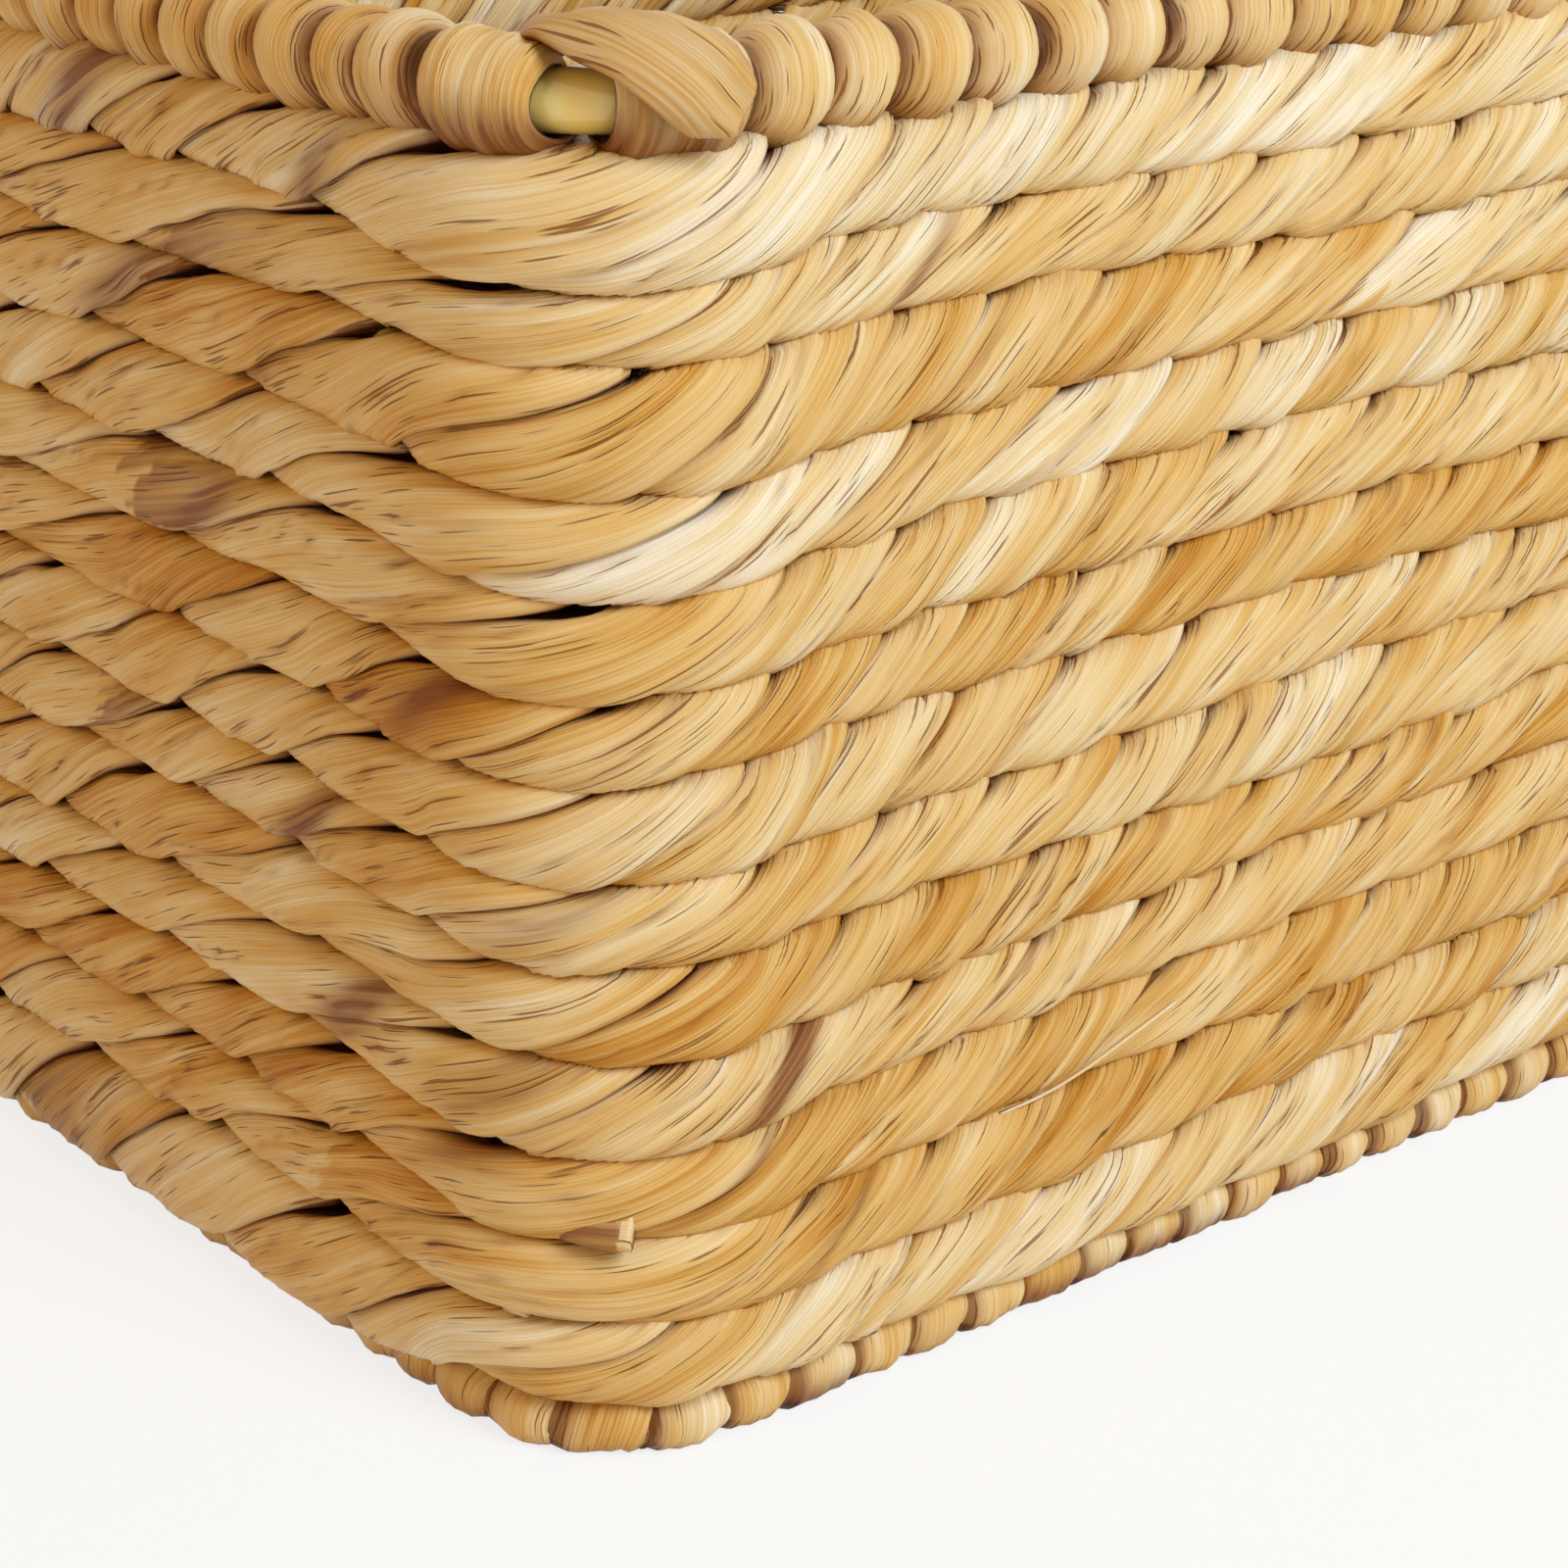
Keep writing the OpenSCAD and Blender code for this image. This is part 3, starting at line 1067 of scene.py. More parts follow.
@dataclass
class WallRows:
    """Thirteen twined rows of the wall, from the rim down."""

    path: WallPath
    rope: TwinedRope = TwinedRope()
    count: int = 13
    lay: float = 35.5 * MM
    # How much the lay changes along the wall, and over what length.
    lay_wander: float = 0.36
    lay_every: float = 40.0 * MM
    half_depth: float = 5.2 * MM
    # How much the depth changes along the wall, and how far it follows the row's height.
    depth_wander: float = 0.04
    depth_every: float = 35.0 * MM
    depth_follows: float = 0.35
    overlap: float = 1.1
    fine_step: float = 0.85 * MM
    coarse_step: float = 1.6 * MM
    # Part of the wall in the photo, before and after its corner.
    fine_before: float = 95.0 * MM
    fine_after: float = 125.0 * MM
    corner_reach: float = 24.0 * MM
    # How much slower the strands turn round the corners, and the skew from which they do so in full.
    corner_twist: float = 0.25
    corner_skew: float = 0.4
    # How much slower the strands turn on the wall left of the photographed corner.
    left_twist: float = 0.38
    left_from: float = 0.5
    # How far the lines between rows wander, and over what length.
    wander: float = 0.85 * MM
    wander_every: float = 42.0 * MM
    # How far the first row is pushed up against the rim binding.
    push_up: float = 2.4 * MM
    # The lowest row sags over the foot on the wall left of the photographed corner.
    sag: float = 4.6 * MM
    sag_from: float = 10.0 * MM
    sag_full: float = 32.0 * MM
    sag_end: float = 175.0 * MM
    # How full each row is at the photographed corner, against the rows' mean.
    fullness: tuple[float, ...] = (
        1.42, 0.74, 1.08, 1.06, 0.99, 0.9, 1.0, 0.96, 0.93, 1.12, 0.82, 0.94, 0.96,
    )
    # Where each row has a seam, in millimetres to the right of the photographed corner.
    first_seam: tuple[float, ...] = (
        6.1, 20.2, 10.3, 0.8, 9.7, 10.8, 7.7, 8.7, 1.7, 13.1, 9.0, 7.7, 12.5,
    )
    stains: tuple[Stain, ...] = (
        Stain(1, -70 * MM, math.radians(30), 12 * MM, 0.7, 1.0),
        Stain(1, -29 * MM, math.radians(-10), 5 * MM, 0.45, 0.9),
        Stain(2, 33 * MM, math.radians(-5), 7 * MM, 0.22, 0.9),
        Stain(3, -66 * MM, math.radians(20), 9 * MM, 0.5, 0.8),
        Stain(5, -50 * MM, math.radians(20), 7 * MM, 0.4, 0.7),
        Stain(6, -13 * MM, math.radians(30), 7 * MM, 0.5, 1.1),
        Stain(8, -34 * MM, math.radians(20), 9 * MM, 0.4, 1.1),
        Stain(8, -3 * MM, math.radians(10), 7 * MM, 0.4, 0.4),
        Stain(10, -28 * MM, math.radians(15), 7 * MM, 0.45, 1.3),
        Stain(10, -6 * MM, math.radians(30), 7 * MM, 0.5, 0.6),
        Stain(10, 17 * MM, math.radians(5), 12 * MM, 0.4, 1.7),
        Stain(11, -10 * MM, math.radians(45), 8 * MM, 0.4, 0.7),
        Stain(11, 12 * MM, math.radians(10), 6 * MM, 0.18, 0.8),
        Stain(12, 26 * MM, math.radians(20), 6 * MM, 0.15, 0.7),
    )

    @staticmethod
    def _name(row: int) -> str:
        """Names the node of a row, counted from 0."""
        return f"wall_row_{row + 1:02d}"

    def _cells(self, every: float) -> int:
        """Counts the whole stretches of one length round the wall."""
        return int(self.path.length / every)

    def _rings(self) -> Array:
        """Spaces the rings closer on the part of the wall in the photo.

        Returns:
            Distances along the loop, the last one closing it.
        """
        fine_low = self.path.corner - self.fine_before
        fine_high = self.path.corner + self.fine_after
        spans = ((0.0, fine_low), (fine_low, fine_high), (fine_high, self.path.length))
        steps = (self.coarse_step, self.fine_step, self.coarse_step)
        parts = [
            np.linspace(low, high, max(int((high - low) / step), 2), endpoint=False)
            for (low, high), step in zip(spans, steps)
        ]
        return np.concatenate([*parts, [self.path.length]])

    def _courses(self, along: Array, noise: Noise) -> Array:
        """Finds the lines between the rows.

        Args:
            along: Distances along the loop.
            noise: Random stream.

        Returns:
            Heights by line, from the top of the first row, and by ring.
        """
        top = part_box(self._name(0))[1].z + self.push_up
        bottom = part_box(self._name(self.count - 1))[0].z
        even = np.linspace(top, bottom, self.count + 1)
        shares = np.concatenate([[0.0], np.cumsum(self.fullness)]) / sum(self.fullness)
        full = top + (bottom - top) * shares
        near = np.exp(-(((along - self.path.corner) / self.corner_reach) ** 2))
        t = along / self.path.length
        cells = self._cells(self.wander_every)
        lines = [e + (f - e) * near + self.wander * noise.line(t, cells) for e, f in zip(even, full)]
        left = self.path.corner - along
        sagging = ease(self.sag_from, self.sag_full, left)
        sagging *= 1.0 - ease(self.sag_end - self.sag_full, self.sag_end, left)
        lines[-1] = lines[-1] - self.sag * sagging
        return np.array(lines)

    def _twist(self, along: Array, row: int, noise: Noise) -> Array:
        """Turns the rope along the loop, slower round the corners and on the left wall.

        Args:
            along: Distances along the loop.
            row: Number of the row, from 0.
            noise: Random stream.

        Returns:
            Turn of the rope at each ring.
        """
        _, outward = self.path.place(along)
        skew = np.minimum(np.abs(outward[:, 0]), np.abs(outward[:, 1]))
        t = along / self.path.length
        rate = 1.0 + self.lay_wander * noise.line(t, self._cells(self.lay_every))
        rate *= 1.0 - self.corner_twist * ease(0.0, self.corner_skew, skew)
        rate *= 1.0 - self.left_twist * ease(self.left_from, 1.0, -outward[:, 0])
        steps = np.diff(along) * (rate[1:] + rate[:-1]) / 2.0
        gone = np.concatenate([[0.0], np.cumsum(steps)])
        turns = round(self.path.length / self.lay)
        twist = TAU * turns * gone / gone[-1]
        at_seam = np.interp(self.path.corner + self.first_seam[row] * MM, along, twist)
        return twist - at_seam + QUARTER_TURN

    def build(self, finish: bpy.types.Material) -> list[bpy.types.Object]:
        """Builds every row.

        Args:
            finish: Material of the strands.

        Returns:
            The rows' objects, from the rim down.
        """
        along = self._rings()
        t = along / self.path.length
        points, outward = self.path.place(along)
        up = np.tile(UP, (len(along), 1))
        courses = self._courses(along, Noise(SEED))
        pitch = (courses[0].mean() - courses[-1].mean()) / self.count
        rows = []
        for row in range(self.count):
            noise = Noise(SEED + row + 1)
            centre = points.copy()
            centre[:, 2] = (courses[row] + courses[row + 1]) / 2.0
            half_height = (courses[row] - courses[row + 1]) / 2.0
            fat = 1.0 - self.depth_follows + self.depth_follows * half_height / (pitch / 2.0)
            uneven = 1.0 + self.depth_wander * noise.line(t, self._cells(self.depth_every))
            line = RopeLine(
                along=along,
                centre=centre,
                outward=outward,
                up=up,
                half_depth=self.half_depth * uneven * fat,
                half_height=half_height * self.overlap,
                twist=self._twist(along, row, noise),
                length=self.path.length,
                closed=True,
            )
            marks = [(self.path.corner + m.along, m) for m in self.stains if m.row == row + 1]
            strands = self.rope.build(line, noise, 2.0 * row * self.path.length, marks)
            piece = strands.to_object(f"{self._name(row)}_strands", finish)
            hand_over(piece, self._name(row))
            rows.append(piece)
        return rows


@dataclass
class BaseRows:
    """Nineteen twined rows of the base, from front to back."""

    rope: TwinedRope = TwinedRope(
        outer_points=13,
        ridge=0.1 * MM,
        swell=0.2 * MM,
        folds=Folds(every=25.0 * MM, height=0.3 * MM),
    )
    count: int = 19
    lay: float = 33.0 * MM
    step: float = 2.0 * MM
    overlap: float = 1.04
    # How far the first and last row swell towards the wall and reach into the rounded corners.
    wall_reach: float = 1.0 * MM
    corner_reach: float = 11.5 * MM
    # How much slimmer these two rows are at their ends.
    corner_taper: float = 0.08

    def build(self, finish: bpy.types.Material) -> list[bpy.types.Object]:
        """Builds every row.

        Args:
            finish: Material of the strands.

        Returns:
            The rows' objects, from the front.
        """
        rows = []
        for row in range(self.count):
            name = f"base_row_{row + 1:02d}"
            low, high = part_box(name)
            noise = Noise(BASE_SEED + row)
            middle = (low + high) / 2.0
            size = (high - low) / 2.0
            depth = size.y * self.overlap
            slimmer = 0.0
            if row in (0, self.count - 1):
                size.x += self.corner_reach
                depth += self.wall_reach / 2.0
                middle.y += math.copysign(self.wall_reach / 2.0, middle.y)
                slimmer = self.corner_taper
            length = 2.0 * size.x
            along = np.linspace(0.0, length, int(length / self.step))
            level = np.ones_like(along)
            to_end = np.minimum(along, length - along)
            line = RopeLine(
                along=along,
                centre=np.stack([along - size.x, middle.y * level, middle.z * level], axis=-1),
                outward=np.tile(FORWARD, (len(along), 1)),
                up=np.tile(UP, (len(along), 1)),
                half_depth=depth * (1.0 - slimmer * (1.0 - ease(0.0, self.corner_reach, to_end))),
                half_height=size.z * level,
                twist=TAU * along / self.lay + noise.rng.uniform(0.0, TAU),
                length=length,
                closed=False,
            )
            strands = self.rope.build(line, noise, row * 2.0 * length)
            piece = strands.to_object(f"{name}_strands", finish)
            hand_over(piece, name)
            rows.append(piece)
        return rows


@dataclass(frozen=True)
class WrapShape:
    """One wrap of a binding: a flat strand laid round the core like a scale, with a free far edge."""

    radius: float
    reach: float
    pitch: float
    # How far the near edge lies below the crest.
    lean: float
    # Lowest height below the core's centre, where a wrap is pressed flat.
    floor: float = math.inf
    rings: int = 30
    points: int = 13
    # How much closer the points lie near the edges.
    gather: float = 0.1
    # Angle where the wrap starts, from outward towards up, and how far it goes round.
    start: float = math.radians(-120.0)
    sweep: float = math.radians(372.0)
    # Angle where the wrap is widest, from outward towards up.
    widest: float = math.radians(42.0)
    # Reach of the far edge where the wrap is narrowest, as a share of its widest, and how it opens.
    pinch: float = 0.42
    opening: float = 0.8
    # Share by which the wrap is closer to the core where it is narrowest.
    squeeze: float = 0.14
    # Thickness, and its share from the near edge to the far edge.
    thick: float = 1.5 * MM
    taper: tuple[tuple[float, float], ...] = ((-1.0, 0.3), (-0.8, 1.0), (0.8, 1.0), (1.0, 0.35))
    # How far the wrap slants along the core, and the share of its sweep where it is in its place.
    slant: float = 2.4 * MM
    slant_middle: float = 0.45
    # Wander of the far edge, as a share of its reach, and of the middle, each with its cells.
    edge_wander: float = 0.07
    edge_cells: int = 5
    wander: float = 0.4 * MM
    wander_cells: int = 4
    # Height and cells of the veins and of the broad puffs.
    ridge: float = 0.32 * MM
    veins: tuple[int, int] = (4, 9)
    fine_veins: tuple[int, int] = (6, 18)
    puff: float = 0.3 * MM
    puffs: tuple[int, int] = (4, 2)
    # Tone of the strand, with its drift and the cells of the drift.
    tone: float = 0.6
    tone_drift: float = 0.06
    tones: tuple[int, int] = (4, 3)
    # Shade beside the wrap before: depth and width of its dark edge and of the groove there.
    tuck: float = 1.0
    tuck_fade: float = 0.14
    groove: float = 0.45
    groove_fade: float = 0.35
    # Share of that shade on the part that only a bend of the rim lays bare.
    bare_shade: float = 0.75
    # Shade along the far edge and on the underside.
    edge_shade: float = 0.25
    edge_fade: float = 0.05
    below_shade: float = 0.6
    below_from: float = 0.2
    # Mean and spread of the rust's strength, and the depth over which it comes in.
    rust: tuple[float, float] = (-0.05, 0.5)
    rust_range: tuple[float, float] = (-0.5, 0.6)
    # Height of the wrap across its width, as a share of the lean.
    crest: tuple[tuple[float, float], ...] = (
        (-1.0, -1.0),
        (-0.6, -0.74),
        (-0.3, -0.48),
        (0.0, -0.2),
        (0.3, 0.0),
        (0.6, 0.06),
        (0.82, -0.02),
        (1.0, -0.42),
    )

    def _shade(self, a: Array, w: Array, width: Array, noise: Noise) -> Array:
        """Shades the upper side.

        Args:
            a: Places along the sweep, from 0 to 1.
            w: Places across the wrap, from -1 at the near edge to 1.
            width: Half width at each place along the sweep.
            noise: Random stream.

        Returns:
            Tone, crevice and stain by place along and across.
        """
        tone = self.tone + self.tone_drift * noise.sheet(a, (w + 1.0) / 2.0, *self.tones)
        # The edge of the wrap before ends here, so that the shade starts beside it.
        covered = (1.0 - self.pitch / width)[:, None]
        beside = np.clip(w[None, :] - covered, 0.0, None)
        laid_bare = np.where(w[None, :] < covered, self.bare_shade, 1.0)
        tuck = self.tuck * np.exp(-beside / self.tuck_fade)
        groove = self.groove * np.exp(-beside / self.groove_fade)
        edge = self.edge_shade * np.exp((w - 1.0) / self.edge_fade)[None, :]
        down = -np.sin(self.start + self.sweep * a)[:, None]
        below = self.below_shade * ease(self.below_from, 1.0, down)
        # Painted shade beside the wrap before, along the far edge and on the underside.
        dark = laid_bare * (tuck + groove) + edge + below
        rusty = max(noise.rng.normal(*self.rust), 0.0) * ease(*self.rust_range, down)
        shades = np.broadcast_arrays(tone, np.clip(dark, 0.0, 1.0), np.clip(rusty, 0.0, 1.0))
        return np.stack(shades, axis=-1)

    def build(self, noise: Noise, outward: float) -> MeshParts:
        """Builds one variant, lying along X with Z up.

        Args:
            noise: Random stream.
            outward: Sign of Y that points out of the basket.

        Returns:
            Mesh parts of the wrap.
        """
        a = np.linspace(0.0, 1.0, self.rings)
        angle = self.start + self.sweep * a
        even = np.linspace(-1.0, 1.0, self.points)
        w = even + self.gather * np.sin(even * HALF_TURN)
        q = (w + 1.0) / 2.0
        open_up = (1.0 + np.cos(angle - self.widest)) / 2.0
        far = self.reach * (self.pinch + (1.0 - self.pinch) * open_up**self.opening)
        far *= 1.0 + self.edge_wander * noise.line(a, self.edge_cells)
        width = (far + self.reach) / 2.0
        middle = far - width + self.slant * (a - self.slant_middle)
        middle += self.wander * noise.line(a, self.wander_cells)
        hold = 1.0 - self.squeeze * (1.0 - open_up)
        top = self.radius * hold[:, None] + self.lean * np.interp(w, *zip(*self.crest))[None, :]
        top = top + self.ridge * noise.veins(a, q, self.veins, self.fine_veins)
        top = top + self.puff * noise.sheet(a, q, *self.puffs)
        under = top[:, ::-1] - self.thick * np.interp(w[::-1], *zip(*self.taper))
        radial = np.concatenate([top, under], axis=1)
        side = np.concatenate([w, w[::-1]])
        x = middle[:, None] + width[:, None] * side[None, :]
        y = outward * radial * np.cos(angle)[:, None]
        z = np.maximum(radial * np.sin(angle)[:, None], -self.floor)
        fibre = np.empty((*radial.shape, 2))
        start = noise.rng.uniform(0.0, 1.0)
        fibre[..., 0] = (angle * self.radius)[:, None] + start
        fibre[..., 1] = self.reach * side + start
        # The underside keeps tone 1 and full painted shade, without stain.
        shade = np.ones((*radial.shape, 3))
        shade[..., 2] = 0.0
        shade[:, : self.points] = self._shade(a, w, width, noise)
        parts = MeshParts()
        parts.add_tube(np.stack([x, y, z], axis=-1), fibre, shade, capped=True, flip=outward > 0.0)
        return parts


class WrapField:
    """Geometry tree that lays wraps along a path, at an even pitch and with small differences."""

    def __init__(self) -> None:
        """Builds the tree."""
        tree = bpy.data.node_groups.new("binding_wraps", "GeometryNodeTree")
        sockets = (
            ("Path", "NodeSocketGeometry"),
            ("Wraps", "NodeSocketCollection"),
            ("Variants", "NodeSocketInt"),
            ("Fine variants", "NodeSocketInt"),
            ("Fine wraps", "NodeSocketInt"),
            ("Pitch", "NodeSocketFloat"),
            ("Swell", "NodeSocketFloat"),
            ("Sway", "NodeSocketFloat"),
            ("Tone", "NodeSocketFloat"),
            ("Seed", "NodeSocketInt"),
            ("Finish", "NodeSocketMaterial"),
        )
        made = [
            tree.interface.new_socket(name, in_out="INPUT", socket_type=kind) for name, kind in sockets
        ]
        tree.interface.new_socket("Wraps laid", in_out="OUTPUT", socket_type="NodeSocketGeometry")
        self.tree = tree
        self.inputs = {item.name: item.identifier for item in made}
        self._fill()

    def _random(self, kind: RandomKind, low: Socket | int, high: Socket, seed: Socket) -> Socket:
        """Adds a random value for each wrap.

        Args:
            kind: Kind of the value.
            low: Lowest value, or the socket of it.
            high: Socket of the highest value.
            seed: Socket of the seed.

        Returns:
            Socket of the value.
        """
        low_at, high_at, result = kind.value
        settings = {"data_type": kind.name}
        inputs = {low_at: low, high_at: high, "Seed": seed}
        return add_node(self.tree, "FunctionNodeRandomValue", settings, inputs).outputs[result]

    def _rotation(self, tangent: Socket, sway: Socket, seed: Socket) -> Socket:
        """Turns each wrap along the path, with its top up and a small sway.

        Args:
            tangent: Socket of the path's direction.
            sway: Socket of the largest sway.
            seed: Socket of the seed.

        Returns:
            Socket of the rotation.
        """
        align = "FunctionNodeAlignRotationToVector"
        ahead = add_node(self.tree, align, {"axis": "X"}, {"Vector": tangent})
        inputs = {"Rotation": ahead.outputs[0], "Vector": UP}
        upright = add_node(self.tree, align, {"axis": "Z", "pivot_axis": "X"}, inputs)
        less = reckon(self.tree, "MULTIPLY", sway, -1.0)
        swayed = self._random(RandomKind.FLOAT, less, sway, seed)
        euler = add_node(self.tree, "ShaderNodeCombineXYZ", None, {"X": swayed, "Z": swayed})
        turn = add_node(self.tree, "FunctionNodeEulerToRotation", None, {0: euler.outputs[0]})
        settings = {"rotation_space": "LOCAL"}
        inputs = {0: upright.outputs[0], 1: turn.outputs[0]}
        return add_node(self.tree, "FunctionNodeRotateRotation", settings, inputs).outputs[0]

    def _pick(self, variants: Socket, fine_variants: Socket, fine_wraps: Socket, seed: Socket) -> Socket:
        """Picks a variant for each wrap.

        The first wrap has its own shape, the next come from the fine variants, and the rest are plain.

        Args:
            variants: Socket of the number of variants.
            fine_variants: Socket of the number of fine ones among them.
            fine_wraps: Socket of the number of wraps that are fine.
            seed: Socket of the seed.

        Returns:
            Socket of the variant's number.
        """
        last = reckon(self.tree, "SUBTRACT", variants, 1.0)
        last_fine = reckon(self.tree, "SUBTRACT", fine_variants, 1.0)
        number = add_node(self.tree, "GeometryNodeInputIndex").outputs[0]
        pick = self._random(RandomKind.INT, fine_variants, last, seed)
        fine = self._random(RandomKind.INT, 1, last_fine, seed)
        number_at, limit_at = 2, 3
        settings = {"data_type": "INT", "operation": "LESS_THAN"}
        for limit, choice in ((fine_wraps, fine), (1, 0)):
            inputs = {number_at: number, limit_at: limit}
            before = add_node(self.tree, "FunctionNodeCompare", settings, inputs)
            inputs = {"Switch": before.outputs[0], "False": pick, "True": choice}
            pick = add_node(self.tree, "GeometryNodeSwitch", {"input_type": "INT"}, inputs).outputs[0]
        return pick

    def _store(self, geometry: Socket, shade: Shade, value: Socket, domain: str) -> Socket:
        """Stores a shade on the geometry.

        Args:
            geometry: Socket of the geometry.
            shade: Which shade is stored.
            value: Socket of its value.
            domain: Whether instances or points hold it.

        Returns:
            Socket of the geometry with the shade.
        """
        settings = {"data_type": "FLOAT", "domain": domain}
        inputs = {"Geometry": geometry, "Name": shade.value, "Value": value}
        return add_node(self.tree, "GeometryNodeStoreNamedAttribute", settings, inputs).outputs[0]

    def _stored(self, shade: Shade) -> Socket:
        """Reads a stored shade.

        Args:
            shade: Which shade is read.

        Returns:
            Socket of its value.
        """
        settings = {"data_type": "FLOAT"}
        inputs = {"Name": shade.value}
        return add_node(self.tree, "GeometryNodeInputNamedAttribute", settings, inputs).outputs[0]

    def _fill(self) -> None:
        """Adds the nodes and their links."""
        tree = self.tree
        given = add_node(tree, "NodeGroupInput").outputs
        seed = given["Seed"]
        next_seed = reckon(tree, "ADD", seed, 1.0)
        curve = add_node(tree, "GeometryNodeMeshToCurve", None, {"Mesh": given["Path"]})
        inputs = {"Curve": curve.outputs[0], "Length": given["Pitch"]}
        spots = add_node(tree, "GeometryNodeCurveToPoints", {"mode": "LENGTH"}, inputs).outputs
        small = reckon(tree, "SUBTRACT", 1.0, given["Swell"])
        large = reckon(tree, "ADD", 1.0, given["Swell"])
        inputs = {"Collection": given["Wraps"], "Separate Children": True, "Reset Children": True}
        wraps = add_node(tree, "GeometryNodeCollectionInfo", None, inputs)
        inputs = {
            "Points": spots["Points"],
            "Instance": wraps.outputs[0],
            "Pick Instance": True,
            "Instance Index": self._pick(
                given["Variants"], given["Fine variants"], given["Fine wraps"], next_seed
            ),
            "Rotation": self._rotation(spots["Tangent"], given["Sway"], seed),
            "Scale": self._random(RandomKind.FLOAT, small, large, next_seed),
        }
        laid = add_node(tree, "GeometryNodeInstanceOnPoints", None, inputs)
        darker = reckon(tree, "MULTIPLY", given["Tone"], -1.0)
        shift = self._random(RandomKind.FLOAT, darker, given["Tone"], seed)
        marked = self._store(laid.outputs[0], Shade.SHIFT, shift, "INSTANCE")
        solid = add_node(tree, "GeometryNodeRealizeInstances", None, {0: marked})
        tone = reckon(tree, "ADD", self._stored(Shade.TONE), self._stored(Shade.SHIFT))
        toned = self._store(solid.outputs[0], Shade.TONE, tone, "POINT")
        inputs = {"Geometry": toned, "Material": given["Finish"]}
        finished = add_node(tree, "GeometryNodeSetMaterial", None, inputs)
        add_node(tree, "NodeGroupOutput", None, {0: finished.outputs[0]})

    def lay(
        self,
        name: str,
        points: Array,
        variants: Sequence[bpy.types.Object],
        values: dict[str, Any],
    ) -> bpy.types.Object:
        """Lays wraps along a line of points and keeps them as a plain mesh.

        Args:
            name: Name of the new piece.
            points: Points of the path in order.
            variants: Objects to pick from.
            values: Values of the tree's named inputs.

        Returns:
            The piece, linked to the scene.
        """
        scene = bpy.context.scene.collection
        shelf = bpy.data.collections.new(f"{name}_variants")
        scene.children.link(shelf)
        for variant in variants:
            scene.objects.unlink(variant)
            shelf.objects.link(variant)
        line = bpy.data.meshes.new(f"{name}_path")
        edges = [(i, i + 1) for i in range(len(points) - 1)]
        line.from_pydata([tuple(p) for p in points], edges, [])
        host = new_object(f"{name}_path", line)
        modifier = host.modifiers.new("wraps", "NODES")
        modifier.node_group = self.tree
        given = {**values, "Wraps": shelf, "Variants": len(variants)}
        for key, value in given.items():
            modifier[self.inputs[key]] = value
        host.update_tag()
        graph = bpy.context.evaluated_depsgraph_get()
        mesh = bpy.data.meshes.new_from_object(
            host.evaluated_get(graph), preserve_all_data_layers=True, depsgraph=graph
        )
        host.modifiers.remove(modifier)
        bpy.data.objects.remove(host)
        bpy.data.meshes.remove(line)
        for variant in variants:
            bpy.data.meshes.remove(variant.data)
        bpy.data.collections.remove(shelf)
        mesh.name = name
        return new_object(name, mesh)


@dataclass(frozen=True)
class Winding:
    """One binding: its wraps, and the stretch of the loop that they cover."""

    node: str
    first: WrapShape
    shape: WrapShape
    low: float
    high: float
    height: float
    # Sign of Y that points out of the basket, for wraps laid in this direction.
    outward: float


